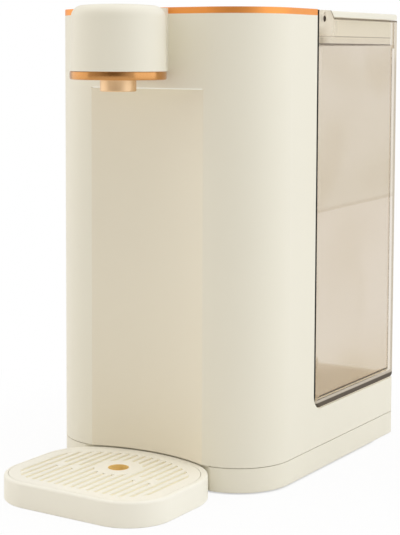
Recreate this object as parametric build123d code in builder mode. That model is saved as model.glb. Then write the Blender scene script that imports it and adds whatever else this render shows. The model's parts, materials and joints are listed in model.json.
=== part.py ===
"""Countertop hot water dispenser with a lift-off tank, a spout head and a pull-out drip tray.

Millimetres. +Z is up, -Y is the front with the spout and the drip tray, +X is the right
side seen from the front. The origin lies on the table, under the middle of the whole
outline. Each piece is a separate solid, written as one STEP file named after its node.
"""

from build123d import *
import os

os.makedirs("parts", exist_ok=True)

# Body
body_width = 160
body_depth = 185.5
body_height = 290
corner_r = 36.5  # upright front corners
rear_corner_r = 2.5
wall = 2.5
seam_z = 16  # joint between base and housing
seam_groove = 0.4
foot_gap = 0.8  # clearance under the base
floor_t = 2.4
part_gap = 0.1  # between pieces that are fixed to each other
move_gap = 0.3  # between pieces that move past each other

# Cup bay, a shallow cylindrical hollow in the front
bay_depth = 8.4
bay_side_flat = 2.5  # flat front beside the bay, before the corners' rounding
bay_half = body_width / 2 - corner_r - bay_side_flat
bay_drop = 48.8  # bay's ceiling below the top
bay_edge_r = 1.8  # upright edges of the base's hollow
bay_ceiling_r = 0.8  # edge of the housing over the bay

# Water tank and the bay that it stands in
tank_bay_y = 69  # housing depth in front of the tank
tank_slot = 1.2  # dark gap between housing and tank
deck_z = 39.7  # top of the deck that the tank stands on
liner_t = 2.4
tank_wall = 2.4
tank_floor = 3.8
tank_front_r = 8.5
tank_rear_r = 3
tank_edge_r = 2
tank_corner_r = 5  # inside, in the tank's upright corners
rim_drop = 4.7  # tank's rim below the top of the body
ear_reach = 16.6
ear_slope = 4.2
ear_rise = 0.2  # ears above the lid
lid_gap = 0.4
lid_plate_t = 3.8
upstand_drop = 2.4  # tank's front wall between the ears, below their top
lid_t = 2.4
skirt_t = 2
skirt_h = 12.8  # skirt below the tank's rim
seal_h = 4
seal_t = 3
hinge_back = 8.2  # hinge pin behind the tank's front face
hinge_drop = 0.9  # hinge pin below the tank's rim
hinge_pin_r = 2
pin_fit = 0.05  # running clearance on a radius
barrel_r = 5.2
lid_notch_w = 36
lid_notch_h = 1.6
lid_notch_depth = 2

# Spout head
head_r = 28.4
head_draft = 0.8
head_edge_r = 7
head_crown = 0.8
head_rise = 1.3  # head above the body
head_h = 44.1
head_wall = 2.2
head_offset = 28.6  # spout axis in front of the body
ring_h = 4.9
neck_width = 32
nozzle_r = 10.7
nozzle_wall = 1.4
nozzle_drop = 7  # nozzle below the ring
hose_hole_drop = 27.3  # hose hole below the top

# Copper band round the top
band_h = 3.8
band_t = 1.6

# Drip tray
tray_width = 113
tray_reach = 85  # front of the tray in front of the body
tray_h = 15
tray_front_r = 28
tray_rear_r = 34
tray_tuck = 1.8  # tray's rear edge under the housing
tray_gap = 0.6  # between the tray and the base behind it
tray_wall = 2.4
tray_floor = 2
tray_edge_r = 1.8
grille_t = 2
grille_border = 9.5  # between the tray's edge and the slots
grille_rear_rim = 2.6  # tray's rim is wider behind the grille
slot_rear_r = 62  # the slots end on an arc at the rear
slot_draft = 18  # degrees, the slots narrow downwards
slot_pitch = 5.6
slot_width = 2.6
slot_side_count = 8
drain_hole_r = 6.25
drain_collar_t = 1.5
drain_land_r = 14.5

# Tank valve
valve_back = 42  # valve axis behind the housing's rear wall
valve_r = 12
valve_drop = 6.7  # valve body below the tank
poppet_r = 7.5
poppet_lift = 2
stem_r = 2.5

# Hoses
hose_r = 4.5
hose_bore_r = 3.05
barb_r = 3
barb_len = 9

# Places that follow from the sizes above
side_x = body_width / 2
front_y = (tray_reach - body_depth) / 2
rear_y = front_y + body_depth
spout_y = front_y - head_offset
bay_top_z = body_height - bay_drop
bay_r = (bay_half**2 + bay_depth**2) / (2 * bay_depth)
bay_centre_y = front_y + bay_depth - bay_r
band_z = body_height - band_h
liner_y = front_y + tank_bay_y - seam_groove  # visible face of the liner
liner_front_y = liner_y - liner_t
deck_under_z = deck_z - liner_t
tank_y = front_y + tank_bay_y + tank_slot
tank_z = deck_z + move_gap
tank_in_x = side_x - tank_wall
tank_in_y = tank_y + tank_wall
tank_in_rear = rear_y - tank_wall
tank_floor_z = tank_z + tank_floor
rim_z = body_height - rim_drop
lid_z = rim_z + lid_gap
lid_top_z = lid_z + lid_plate_t
ear_z = lid_top_z + ear_rise
skirt_bottom_z = rim_z - skirt_h
hinge_z = rim_z - hinge_drop
head_top_z = body_height + head_rise
ring_bottom_z = head_top_z - head_h
nozzle_bottom_z = ring_bottom_z - nozzle_drop
hose_hole_z = body_height - hose_hole_drop
hinge_y = tank_y + hinge_back
valve_y = liner_y + valve_back
base_floor_z = foot_gap + floor_t


def body_plan(inset=0, rear=rear_y, cup_bay=True, deeper=0):
    """Plan of the body, drawn in by inset: round front corners and the cup bay's hollow.

    The base's hollow is deeper than the housing's, so that the tray's rear edge goes under the housing.
    """
    half = side_x - inset
    near = front_y + inset
    far = rear - inset
    with BuildSketch() as plan:
        with Locations((0, (near + far) / 2)):
            Rectangle(2 * half, far - near)
        fillet(plan.vertices().group_by(Axis.Y)[0], corner_r - inset)
        fillet(plan.vertices().group_by(Axis.Y)[-1], max(rear_corner_r - inset, 0.3))
        if cup_bay:
            with Locations((0, bay_centre_y)):
                Circle(bay_r + inset + deeper, mode=Mode.SUBTRACT)
            bay_corners = plan.vertices().group_by(Axis.Y)[0].sort_by(lambda v: abs(v.X))[:2]
            fillet(bay_corners, max(bay_edge_r - inset, 0.5))
    return plan.sketch


def tray_plan(inset=0, rear_inset=0):
    """Plan of the drip tray, drawn in by inset: its rear edge follows the cup bay."""
    half = tray_width / 2 - inset
    near = front_y - tray_reach + inset
    far = front_y + bay_depth + tray_tuck
    with BuildSketch() as plan:
        with Locations((0, (near + far) / 2)):
            Rectangle(2 * half, far - near)
        with Locations((0, bay_centre_y)):
            Circle(bay_r + tray_tuck - inset - rear_inset, mode=Mode.INTERSECT)
        corners = plan.vertices().sort_by(Axis.Y)
        fillet(corners[:2], tray_front_r - inset)
        fillet(plan.vertices().sort_by(lambda v: -abs(v.X) - v.Y / 1000)[:4].sort_by(Axis.Y)[2:],
               tray_rear_r - inset / 2)
    return plan.sketch


def tank_opening():
    """Side view of the space over the deck, with its round lower corner."""
    with BuildSketch() as opening:
        with Locations((front_y + tank_bay_y, deck_z)):
            Rectangle(body_depth, body_height, align=(Align.MIN, Align.MIN))
        fillet(opening.vertices().sort_by(lambda v: v.X + v.Y)[0], tank_front_r + tank_slot)
    return opening.sketch


def finish(piece, name):
    """Labels a finished piece and writes its STEP file."""
    piece.part.label = name
    export_step(piece.part, f"parts/{name}.step")


# Screw places: the base is held from below, near the four corners of the body
screw_r = 1.5
screw_head_r = 2.8
screw_head_h = 1.8
boss_r = 4
corner_reach = corner_r - wall - boss_r + 0.5
base_screw_points = [
    (side * (side_x - corner_r + corner_reach * 0.7071), front_y + corner_r - corner_reach * 0.7071)
    for side in (-1, 1)
] + [(side * (side_x - wall - boss_r + 0.5), rear_y - wall - 14) for side in (-1, 1)]
base_boss_z = seam_z - 4

# Rubber feet
foot_r = 7
foot_recess = 1.2
foot_points = [(side * 55, front_y + 36) for side in (-1, 1)] + [(side * 58, rear_y - 22) for side in (-1, 1)]
vent_pitch = 9
vent_width = 3
vent_length = 34
vent_count = 6

# Base: a shallow tray with a lip that locates the housing
lip_t = 1.3
lip_h = 3
base_deeper = tray_tuck + tray_gap
with BuildPart() as base_tray:
    with BuildSketch(Plane.XY.offset(foot_gap)):
        add(body_plan(deeper=base_deeper))
    extrude(amount=seam_z - seam_groove - foot_gap)
    chamfer(base_tray.faces().sort_by(Axis.Z)[0].edges(), 0.4)
    with BuildSketch(Plane.XY.offset(base_floor_z)):
        add(body_plan(wall + part_gap + lip_t, deeper=base_deeper))
    extrude(amount=seam_z, mode=Mode.SUBTRACT)
    with BuildSketch(Plane.XY.offset(seam_z - seam_groove)):
        add(body_plan(wall + part_gap, deeper=base_deeper))
        add(body_plan(wall + part_gap + lip_t, deeper=base_deeper), mode=Mode.SUBTRACT)
    extrude(amount=seam_groove + lip_h)
    with BuildSketch(Plane.XY.offset(base_floor_z)):
        with Locations(*base_screw_points):
            Circle(boss_r)
    extrude(amount=base_boss_z - base_floor_z)
    with BuildSketch(Plane.XY.offset(base_boss_z)):
        with Locations(*base_screw_points):
            Circle(boss_r + move_gap)
    extrude(amount=seam_z, mode=Mode.SUBTRACT)
    with Locations(*[(x, y, foot_gap) for x, y in base_screw_points]):
        with Locations(Rotation(180, 0, 0)):
            CounterBoreHole(screw_r + part_gap, screw_head_r + 2 * part_gap, 5, depth=seam_z)
    with BuildSketch(Plane.XY.offset(foot_gap)):
        with Locations(*foot_points):
            Circle(foot_r + part_gap)
    extrude(amount=foot_recess, mode=Mode.SUBTRACT)
    with BuildSketch(Plane.XY.offset(foot_gap)):
        with Locations((45, rear_y - 55)):
            with GridLocations(vent_pitch, 0, vent_count, 1):
                SlotOverall(vent_length, vent_width, rotation=90)
    extrude(amount=floor_t, mode=Mode.SUBTRACT)
finish(base_tray, "base_tray")

# Feet: four soft discs in recesses under the base
with BuildPart() as rubber_feet:
    with BuildSketch():
        with Locations(*foot_points):
            Circle(foot_r)
    extrude(amount=foot_gap + foot_recess)
    chamfer(rubber_feet.faces().group_by(Axis.Z)[0].edges(), 0.3)
finish(rubber_feet, "rubber_feet")

# Screws that hold the base to the housing
with BuildPart() as base_screws:
    head_z = foot_gap + 5
    with Locations(*[(x, y, head_z) for x, y in base_screw_points]):
        Cylinder(screw_head_r, screw_head_h, align=(Align.CENTER, Align.CENTER, Align.MAX))
        Cylinder(screw_r, 14, align=(Align.CENTER, Align.CENTER, Align.MIN))
finish(base_screws, "base_screws")

# Front housing: the front and the sides as far as the tank's bay, in one moulding
cord_in = 32  # cord's middle in from the body's side
cord_x = -(body_width / 2 - cord_in)
cord_bore_r = 3.5
gland_r = 5.9
gland_flange_r = 7.8
gland_flange_t = 1.4
gland_pad_r = 8.5
gland_pad_t = 2.5
cord_z = seam_z + lip_h + gland_pad_r + move_gap
hose_hole_r = 7
spout_screw_step = 11
spout_screw_points = [
    (sx * spout_screw_step, hose_hole_z + sz * 0.7 * spout_screw_step) for sx in (-1, 1) for sz in (-1, 1)
]
liner_screw_in = 20  # end screws above the deck and below the rim
liner_screw_points = [
    (side * (side_x - wall - boss_r - 0.5), z)
    for side in (-1, 1)
    for z in (deck_z + liner_screw_in, (deck_z + rim_z) / 2, rim_z - liner_screw_in)
]
front_boss_points = base_screw_points[:2]
rear_boss_points = base_screw_points[2:]
boss_h = 14
with BuildPart() as front_housing:
    with BuildSketch(Plane.XY.offset(seam_z)):
        add(body_plan(cup_bay=False))
    extrude(amount=band_z - seam_z)
    with BuildSketch(Plane.XY.offset(seam_z)):
        add(body_plan(wall, cup_bay=False))
    extrude(amount=body_height, mode=Mode.SUBTRACT)
    # A window for the cup bay's panel, with a ledge over it as the bay's ceiling
    with BuildSketch(Plane.XY.offset(seam_z)):
        with Locations((0, front_y)):
            Rectangle(2 * bay_half, 4 * wall)
    extrude(amount=bay_top_z - seam_z, mode=Mode.SUBTRACT)
    with BuildSketch(Plane.XY.offset(bay_top_z)):
        add(body_plan(cup_bay=False))
        add(body_plan(wall), mode=Mode.SUBTRACT)
        with Locations((0, front_y)):
            Rectangle(2 * body_width, 2 * (bay_depth + wall), mode=Mode.INTERSECT)
    extrude(amount=wall)
    ceiling_edges = front_housing.edges().filter_by(Axis.X).filter_by(
        lambda e: abs(e.center().Z - bay_top_z) < 0.1 and e.center().Y < front_y + 0.1
    )
    fillet(ceiling_edges, bay_ceiling_r)
    # Bosses for the base and the liner
    with BuildSketch(Plane.XY.offset(base_boss_z)):
        with Locations(*front_boss_points):
            Circle(boss_r)
    extrude(amount=boss_h)
    with BuildSketch(Plane.XZ.offset(-liner_front_y)):
        with Locations(*liner_screw_points):
            SlotOverall(boss_r * 2 + 4, boss_r * 2)
    extrude(amount=12)
    # Whatever a boss adds outside the body's outline comes off again
    with BuildSketch(Plane.XY.offset(base_boss_z)):
        Rectangle(3 * body_width, 3 * body_depth)
        add(body_plan(cup_bay=False), mode=Mode.SUBTRACT)
    extrude(amount=body_height, mode=Mode.SUBTRACT)
    # It ends where the tank's bay begins
    with BuildSketch(Plane.XY):
        with Locations((0, front_y + tank_bay_y)):
            Rectangle(2 * body_width, body_depth, align=(Align.CENTER, Align.MIN))
    extrude(amount=body_height, mode=Mode.SUBTRACT)
    # Holes
    with Locations(*[(x, y, base_boss_z) for x, y in front_boss_points]):
        with Locations(Rotation(180, 0, 0)):
            Hole(screw_r + part_gap / 2, depth=boss_h - 3)
    with BuildSketch(Plane.XZ.offset(-liner_front_y)):
        with Locations(*liner_screw_points):
            Circle(screw_r + part_gap / 2)
    extrude(amount=10, mode=Mode.SUBTRACT)
    with BuildSketch(Plane.XZ.offset(-front_y - wall)):
        with Locations((0, hose_hole_z)):
            Circle(hose_hole_r)
        with Locations(*spout_screw_points):
            Circle(screw_r + part_gap)
    extrude(amount=wall, mode=Mode.SUBTRACT)
finish(front_housing, "front_housing")

# Panel at the back of the cup bay, a curved plate set edge to edge into the housing's window
with BuildPart() as bay_panel:
    with BuildSketch(Plane.XY.offset(seam_z)):
        with Locations((0, bay_centre_y)):
            Circle(bay_r + wall)
            Circle(bay_r, mode=Mode.SUBTRACT)
        with Locations((0, front_y)):
            Rectangle(2 * bay_half, 2 * (bay_depth + 2 * wall), mode=Mode.INTERSECT)
    extrude(amount=bay_top_z - seam_z)
finish(bay_panel, "bay_panel")

# Rear skirts: the low side walls under the tank, set edge to edge against the housing
with BuildPart() as rear_skirts:
    with BuildSketch(Plane.YZ.offset(-side_x)):
        with Locations((front_y + tank_bay_y, seam_z)):
            Rectangle(body_depth - tank_bay_y, body_height, align=(Align.MIN, Align.MIN))
        add(tank_opening(), mode=Mode.SUBTRACT)
        with Locations((0, deck_z + tank_front_r + tank_slot)):
            Rectangle(2 * body_depth, 2 * body_height, align=(Align.CENTER, Align.MIN), mode=Mode.SUBTRACT)
    extrude(amount=body_width)
    with BuildSketch(Plane.XY.offset(seam_z)):
        Rectangle(2 * (side_x - wall), 3 * body_depth)
    extrude(amount=body_height, mode=Mode.SUBTRACT)
    with BuildSketch(Plane.XY.offset(base_boss_z)):
        with Locations(*rear_boss_points):
            Circle(boss_r)
    extrude(amount=boss_h)
    with BuildSketch(Plane.XY.offset(base_boss_z)):
        Rectangle(3 * body_width, 3 * body_depth)
        add(body_plan(cup_bay=False), mode=Mode.SUBTRACT)
    extrude(amount=body_height, mode=Mode.SUBTRACT)
    with Locations(*[(x, y, base_boss_z) for x, y in rear_boss_points]):
        with Locations(Rotation(180, 0, 0)):
            Hole(screw_r + part_gap / 2, depth=boss_h - 3)
finish(rear_skirts, "rear_skirts")

# Rear panel: the low wall under the tank's back, with a pad for the cord gland
with BuildPart() as rear_panel:
    with BuildSketch(Plane.XZ.offset(-rear_y)):
        with Locations((0, seam_z)):
            Rectangle(2 * (side_x - wall), deck_z - seam_z, align=(Align.CENTER, Align.MIN))
    extrude(amount=wall)
    with BuildSketch(Plane.XZ.offset(-(rear_y - wall))):
        with Locations((cord_x, cord_z)):
            Circle(gland_pad_r)
    extrude(amount=gland_pad_t)
    with BuildSketch(Plane.XZ.offset(-rear_y)):
        with Locations((cord_x, cord_z)):
            Circle(gland_r + part_gap)
    extrude(amount=wall + gland_pad_t, mode=Mode.SUBTRACT)
    with BuildSketch(Plane.XZ.offset(-rear_y)):
        with Locations((cord_x, cord_z)):
            Circle(gland_flange_r + part_gap)
    extrude(amount=gland_flange_t, mode=Mode.SUBTRACT)
finish(rear_panel, "rear_panel")

# Cord gland: a flush bush through the rear wall
with BuildPart() as cord_gland:
    with BuildSketch(Plane.XZ.offset(-rear_y)):
        with Locations((cord_x, cord_z)):
            Circle(gland_flange_r)
    extrude(amount=gland_flange_t)
    with BuildSketch(Plane.XZ.offset(-rear_y)):
        with Locations((cord_x, cord_z)):
            Circle(gland_r)
    extrude(amount=wall + gland_pad_t + 6)
    with BuildSketch(Plane.XZ.offset(-rear_y)):
        with Locations((cord_x, cord_z)):
            Circle(cord_bore_r)
    extrude(amount=wall + gland_pad_t + 6, mode=Mode.SUBTRACT)
finish(cord_gland, "cord_gland")
gland_nut_t = 3
with BuildPart() as gland_nut:
    with BuildSketch(Plane.XZ.offset(-(rear_y - wall - gland_pad_t))):
        with Locations((cord_x, cord_z)):
            RegularPolygon(gland_r + 2.5, 6)
            Circle(gland_r + part_gap / 2, mode=Mode.SUBTRACT)
    extrude(amount=gland_nut_t)
finish(gland_nut, "gland_nut")

# Liner: the rear wall and the deck that the tank stands against and on
socket_r = 15.5
socket_flange_r = 20
board_w = 56
board_h = 92
board_x = side_x - wall - 2 * boss_r - 4 - board_w / 2 - 1.5
board_z = deck_z + 82 + board_h / 2
board_t = 1.6
board_stand = 7
board_post_points = [
    (board_x + sx * (board_w / 2 - 5), board_z + sz * (board_h / 2 - 5)) for sx in (-1, 1) for sz in (-1, 1)
]
liner_half = side_x - wall - part_gap
socket_screw_points = [(sx * 13, valve_y + sy * 12.5) for sx in (-1, 1) for sy in (-1, 1)]
with BuildPart() as tank_bay_liner:
    with BuildSketch(Plane.YZ.offset(-liner_half)) as liner_profile:
        with BuildLine():
            Polyline(
                (liner_front_y, band_z),
                (liner_front_y, deck_under_z),
                (rear_y - wall - part_gap, deck_under_z),
                (rear_y - wall - part_gap, deck_z),
                (liner_y, deck_z),
                (liner_y, band_z),
                close=True,
            )
        make_face()
        inner = liner_profile.vertices().sort_by(lambda v: abs(v.X - liner_y) + abs(v.Y - deck_z))[0]
        outer = liner_profile.vertices().sort_by(lambda v: abs(v.X - liner_front_y) + abs(v.Y - deck_under_z))[0]
        fillet(inner, tank_front_r + tank_slot)
        fillet(outer, tank_front_r + tank_slot + liner_t)
    extrude(amount=2 * liner_half)
    # Posts for the power board, under and in front of the rear wall
    with BuildSketch(Plane.XZ.offset(-liner_front_y)):
        with Locations(*board_post_points):
            Circle(3)
    extrude(amount=board_stand)
    with BuildSketch(Plane.XY.offset(deck_under_z)):
        with Locations((0, valve_y)):
            Circle(socket_r + part_gap)
    extrude(amount=liner_t, mode=Mode.SUBTRACT)
    with BuildSketch(Plane.XZ.offset(-liner_y)):
        with Locations(*liner_screw_points):
            Circle(screw_r + part_gap)
    extrude(amount=liner_t, mode=Mode.SUBTRACT)
finish(tank_bay_liner, "tank_bay_liner")

# Screws through the liner into the housing
with BuildPart() as liner_screws:
    with BuildSketch(Plane.XZ.offset(-liner_y - tank_slot / 2)):
        with Locations(*liner_screw_points):
            Circle(screw_head_r)
    extrude(amount=tank_slot / 2)
    with BuildSketch(Plane.XZ.offset(-liner_y)):
        with Locations(*liner_screw_points):
            Circle(screw_r)
    extrude(amount=liner_t + 9)
finish(liner_screws, "liner_screws")

# Top cover: a flat lid with a recess for the touch panel and a skirt inside the housing
panel_w = 104
panel_d = 34
panel_r = 6
panel_t = 1.2
panel_y = front_y + 35
cover_t = 2.4
cover_under_z = body_height - cover_t
cover_rear = liner_y
cover_skirt_z = band_z - 8
cover_post_points = [(sx * 42, panel_y + sy * 10) for sx in (-1, 1) for sy in (-1, 1)]
control_board_t = 1.6
control_board_z = cover_under_z - 4
with BuildPart() as top_cover:
    with BuildSketch(Plane.XY.offset(band_z)):
        add(body_plan(band_t + part_gap, rear=cover_rear + band_t + part_gap, cup_bay=False))
    extrude(amount=band_h)
    with BuildSketch(Plane.XY.offset(band_z)):
        add(body_plan(wall + part_gap + 1.4, rear=liner_front_y + wall, cup_bay=False))
    extrude(amount=band_h - cover_t, mode=Mode.SUBTRACT)
    with BuildSketch(Plane.XY.offset(cover_skirt_z)):
        add(body_plan(wall + part_gap, rear=liner_front_y + wall, cup_bay=False))
        add(body_plan(wall + part_gap + 1.4, rear=liner_front_y + wall, cup_bay=False), mode=Mode.SUBTRACT)
    extrude(amount=band_z - cover_skirt_z)
    with BuildSketch(Plane.XY.offset(cover_under_z)):
        with Locations(*cover_post_points):
            Circle(2.5)
    extrude(amount=control_board_z - cover_under_z)
    with BuildSketch(Plane.XY.offset(body_height)):
        with Locations((0, panel_y)):
            RectangleRounded(panel_w + 2 * part_gap, panel_d + 2 * part_gap, panel_r)
    extrude(amount=-panel_t, mode=Mode.SUBTRACT)
finish(top_cover, "top_cover")

# Copper band: an open strip round the front and sides of the top
with BuildPart() as top_trim_band:
    with BuildSketch(Plane.XY.offset(band_z)):
        add(body_plan(cup_bay=False))
        add(body_plan(band_t, cup_bay=False), mode=Mode.SUBTRACT)
        with Locations((0, front_y + tank_bay_y)):
            Rectangle(body_width, body_depth, align=(Align.CENTER, Align.MIN), mode=Mode.SUBTRACT)
    extrude(amount=band_h)
finish(top_trim_band, "top_trim_band")

# Touch panel: a flush glass plate without moving keys
with BuildPart() as control_panel:
    with BuildSketch(Plane.XY.offset(body_height - panel_t)):
        with Locations((0, panel_y)):
            RectangleRounded(panel_w, panel_d, panel_r - part_gap)
    extrude(amount=panel_t)
finish(control_panel, "control_panel")

# Control board under the panel, with its display and a row of touch pads
with BuildPart() as control_board:
    with BuildSketch(Plane.XY.offset(control_board_z)):
        with Locations((0, panel_y)):
            Rectangle(panel_w - 8, panel_d - 6)
    extrude(amount=-control_board_t)
    with BuildSketch(Plane.XY.offset(control_board_z)):
        with Locations((0, panel_y + 4)):
            Rectangle(30, 12)
    extrude(amount=cover_under_z - control_board_z)
    with BuildSketch(Plane.XY.offset(control_board_z - control_board_t)):
        with Locations((-30, panel_y), (-12, panel_y + 5), (24, panel_y - 3)):
            Rectangle(9, 9)
        with Locations((10, panel_y)):
            Rectangle(14, 6)
    extrude(amount=-2)
finish(control_board, "control_board")
touch_pad_r = 3.5
with BuildPart() as touch_pads:
    with BuildSketch(Plane.XY.offset(control_board_z)):
        with Locations((0, panel_y - 9)):
            with GridLocations(18, 0, 4, 1):
                Circle(touch_pad_r)
                Circle(touch_pad_r - 1.2, mode=Mode.SUBTRACT)
    extrude(amount=cover_under_z - control_board_z)
finish(touch_pads, "touch_pads")

# Spout head: a drafted round cap with a short neck that meets the housing
spout_plane = Plane.XZ.offset(-spout_y)
spout_axis = Axis((0, spout_y, 0), (0, 0, 1))
ring_top_z = ring_bottom_z + ring_h
top_r = head_r - head_draft


def head_profile():
    """Half section of the head, closed on its axis."""
    with BuildSketch(spout_plane) as profile:
        with BuildLine():
            start = (top_r, head_top_z - head_crown - head_edge_r)
            end = (top_r - head_edge_r, head_top_z - head_crown)
            Line((0, ring_top_z), (head_r, ring_top_z))
            Line((head_r, ring_top_z), start)
            RadiusArc(start, end, -head_edge_r)
            SagittaArc(end, (-end[0], end[1]), -head_crown)
            Line((-end[0], end[1]), (-end[0], ring_top_z))
            Line((-end[0], ring_top_z), (0, ring_top_z))
        make_face()
        with Locations((0, head_top_z)):
            Rectangle(4 * head_r, 4 * body_height, align=(Align.MAX, Align.CENTER), mode=Mode.SUBTRACT)
    return profile.sketch


with BuildPart() as spout_housing:
    add(head_profile())
    revolve(axis=spout_axis)
    with BuildSketch(Plane.XY.offset(ring_top_z)):
        with Locations((0, spout_y)):
            Rectangle(neck_width, head_offset, align=(Align.CENTER, Align.MIN))
    extrude(amount=head_top_z - head_crown - head_edge_r - ring_top_z + 6)
    with BuildSketch(Plane.XY.offset(ring_top_z)):
        with Locations((0, spout_y)):
            Circle(top_r - head_wall)
    extrude(amount=head_top_z - head_crown - head_edge_r - ring_top_z, mode=Mode.SUBTRACT)
    with BuildSketch(Plane.XY.offset(head_top_z - head_crown - head_edge_r)):
        with Locations((0, spout_y)):
            Circle(top_r - head_wall)
    extrude(amount=head_edge_r - head_wall, taper=45, mode=Mode.SUBTRACT)
    # The back is cut flat where the head meets the front of the housing
    with BuildSketch(Plane.XY.offset(ring_bottom_z)):
        with Locations((0, front_y)):
            Rectangle(4 * head_r, 4 * head_r, align=(Align.CENTER, Align.MIN))
    extrude(amount=body_height, mode=Mode.SUBTRACT)
    with BuildSketch(Plane.XZ.offset(-front_y)):
        with Locations((0, hose_hole_z)):
            Circle(hose_hole_r)
    extrude(amount=head_wall + 6, mode=Mode.SUBTRACT)
    with BuildSketch(Plane.XZ.offset(-front_y)):
        with Locations(*spout_screw_points):
            Circle(screw_r + part_gap / 2)
    extrude(amount=3.5, mode=Mode.SUBTRACT)
finish(spout_housing, "spout_housing")

# Screws from inside the housing into the spout head
with BuildPart() as spout_screws:
    with BuildSketch(Plane.XZ.offset(-front_y - wall)):
        with Locations(*spout_screw_points):
            Circle(screw_r)
    extrude(amount=wall + 3)
    with BuildSketch(Plane.XZ.offset(-front_y - wall)):
        with Locations(*spout_screw_points):
            Circle(screw_head_r)
    extrude(amount=-screw_head_h)
finish(spout_screws, "spout_screws")

# Copper ring round the foot of the head
ring_proud = 0.1
with BuildPart() as spout_trim_ring:
    with BuildSketch(Plane.XY.offset(ring_bottom_z)):
        with Locations((0, spout_y)):
            Circle(head_r + ring_proud)
            Circle(head_r - head_wall, mode=Mode.SUBTRACT)
        with Locations((0, front_y - part_gap / 2)):
            Rectangle(4 * head_r, 4 * head_r, align=(Align.CENTER, Align.MIN), mode=Mode.SUBTRACT)
    extrude(amount=ring_h)
finish(spout_trim_ring, "spout_trim_ring")

# Plate that closes the head from below
plate_t = 2.4
plate_z = ring_bottom_z + 0.5
with BuildPart() as spout_bottom_plate:
    with BuildSketch(Plane.XY.offset(plate_z)):
        with Locations((0, spout_y)):
            Circle(head_r - head_wall - part_gap / 2)
            Circle(nozzle_r + part_gap / 2, mode=Mode.SUBTRACT)
        with Locations((0, front_y - part_gap)):
            Rectangle(4 * head_r, 4 * head_r, align=(Align.CENTER, Align.MIN), mode=Mode.SUBTRACT)
    extrude(amount=plate_t)
finish(spout_bottom_plate, "spout_bottom_plate")

# Nozzle: a copper sleeve with an inner flange above the plate
flange_t = 1.6
nozzle_top_z = plate_z + plate_t + flange_t
with BuildPart() as outlet_nozzle:
    with BuildSketch(spout_plane) as nozzle_section:
        with BuildLine():
            Polyline(
                (nozzle_r - nozzle_wall, nozzle_bottom_z),
                (nozzle_r, nozzle_bottom_z),
                (nozzle_r, plate_z + plate_t),
                (nozzle_r + 2.5, plate_z + plate_t),
                (nozzle_r + 2.5, nozzle_top_z),
                (nozzle_r - nozzle_wall, nozzle_top_z),
                close=True,
            )
        make_face()
        fillet(nozzle_section.vertices().sort_by(lambda v: v.Y - v.X)[0], 0.6)
    revolve(axis=spout_axis)
finish(outlet_nozzle, "outlet_nozzle")

# Flow straightener inside the nozzle: a plug with a ring of small outlets
insert_bottom_z = nozzle_bottom_z + 1.2
insert_r = nozzle_r - nozzle_wall - part_gap / 2
with BuildPart() as nozzle_insert:
    with BuildSketch(Plane.XY.offset(insert_bottom_z)):
        with Locations((0, spout_y)):
            Circle(insert_r)
    extrude(amount=nozzle_top_z - insert_bottom_z)
    with BuildSketch(Plane.XY.offset(insert_bottom_z)):
        with Locations((0, spout_y)):
            Circle(1.4)
            with PolarLocations(4.6, 6):
                Circle(1.2)
    extrude(amount=nozzle_top_z - insert_bottom_z, mode=Mode.SUBTRACT)
    with BuildSketch(Plane.XY.offset(insert_bottom_z + 2)):
        with Locations((0, spout_y)):
            Circle(insert_r - 1.4)
    extrude(amount=nozzle_top_z, mode=Mode.SUBTRACT)
finish(nozzle_insert, "nozzle_insert")

# Outlet chamber above the nozzle, where the water slows down and steam parts from it
chamber_r = 13
chamber_wall = 1.8
chamber_top_z = hose_hole_z + 9
with BuildPart() as outlet_chamber:
    with BuildSketch(Plane.XY.offset(nozzle_top_z)):
        with Locations((0, spout_y)):
            Circle(chamber_r)
    extrude(amount=chamber_top_z - nozzle_top_z)
    fillet(outlet_chamber.faces().sort_by(Axis.Z)[-1].edges(), 2)
    with BuildSketch(Plane.XZ.offset(-spout_y)):
        with Locations((0, hose_hole_z)):
            Circle(barb_r)
    extrude(amount=-(head_offset - 3))
    with BuildSketch(Plane.XY.offset(nozzle_top_z)):
        with Locations((0, spout_y)):
            Circle(chamber_r - chamber_wall)
    extrude(amount=chamber_top_z - nozzle_top_z - chamber_wall, mode=Mode.SUBTRACT)
    with BuildSketch(Plane.XZ.offset(-spout_y)):
        with Locations((0, hose_hole_z)):
            Circle(barb_r - 1)
    extrude(amount=-(head_offset - 3), mode=Mode.SUBTRACT)
finish(outlet_chamber, "outlet_chamber")

# Pump sizes, which the heater and the hoses follow
pump_x = -40
pump_z = 18.6
motor_r = 13.5
motor_wall = 1
motor_len = 38
pump_head_r = 15
pump_head_len = 22
pump_rear_in = 28
pump_rear_y = rear_y - pump_rear_in
motor_front_y = pump_rear_y - motor_len
pump_front_y = motor_front_y - pump_head_len
shaft_r = 1.2
rotor_r = 9
port_dx = 7

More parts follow.
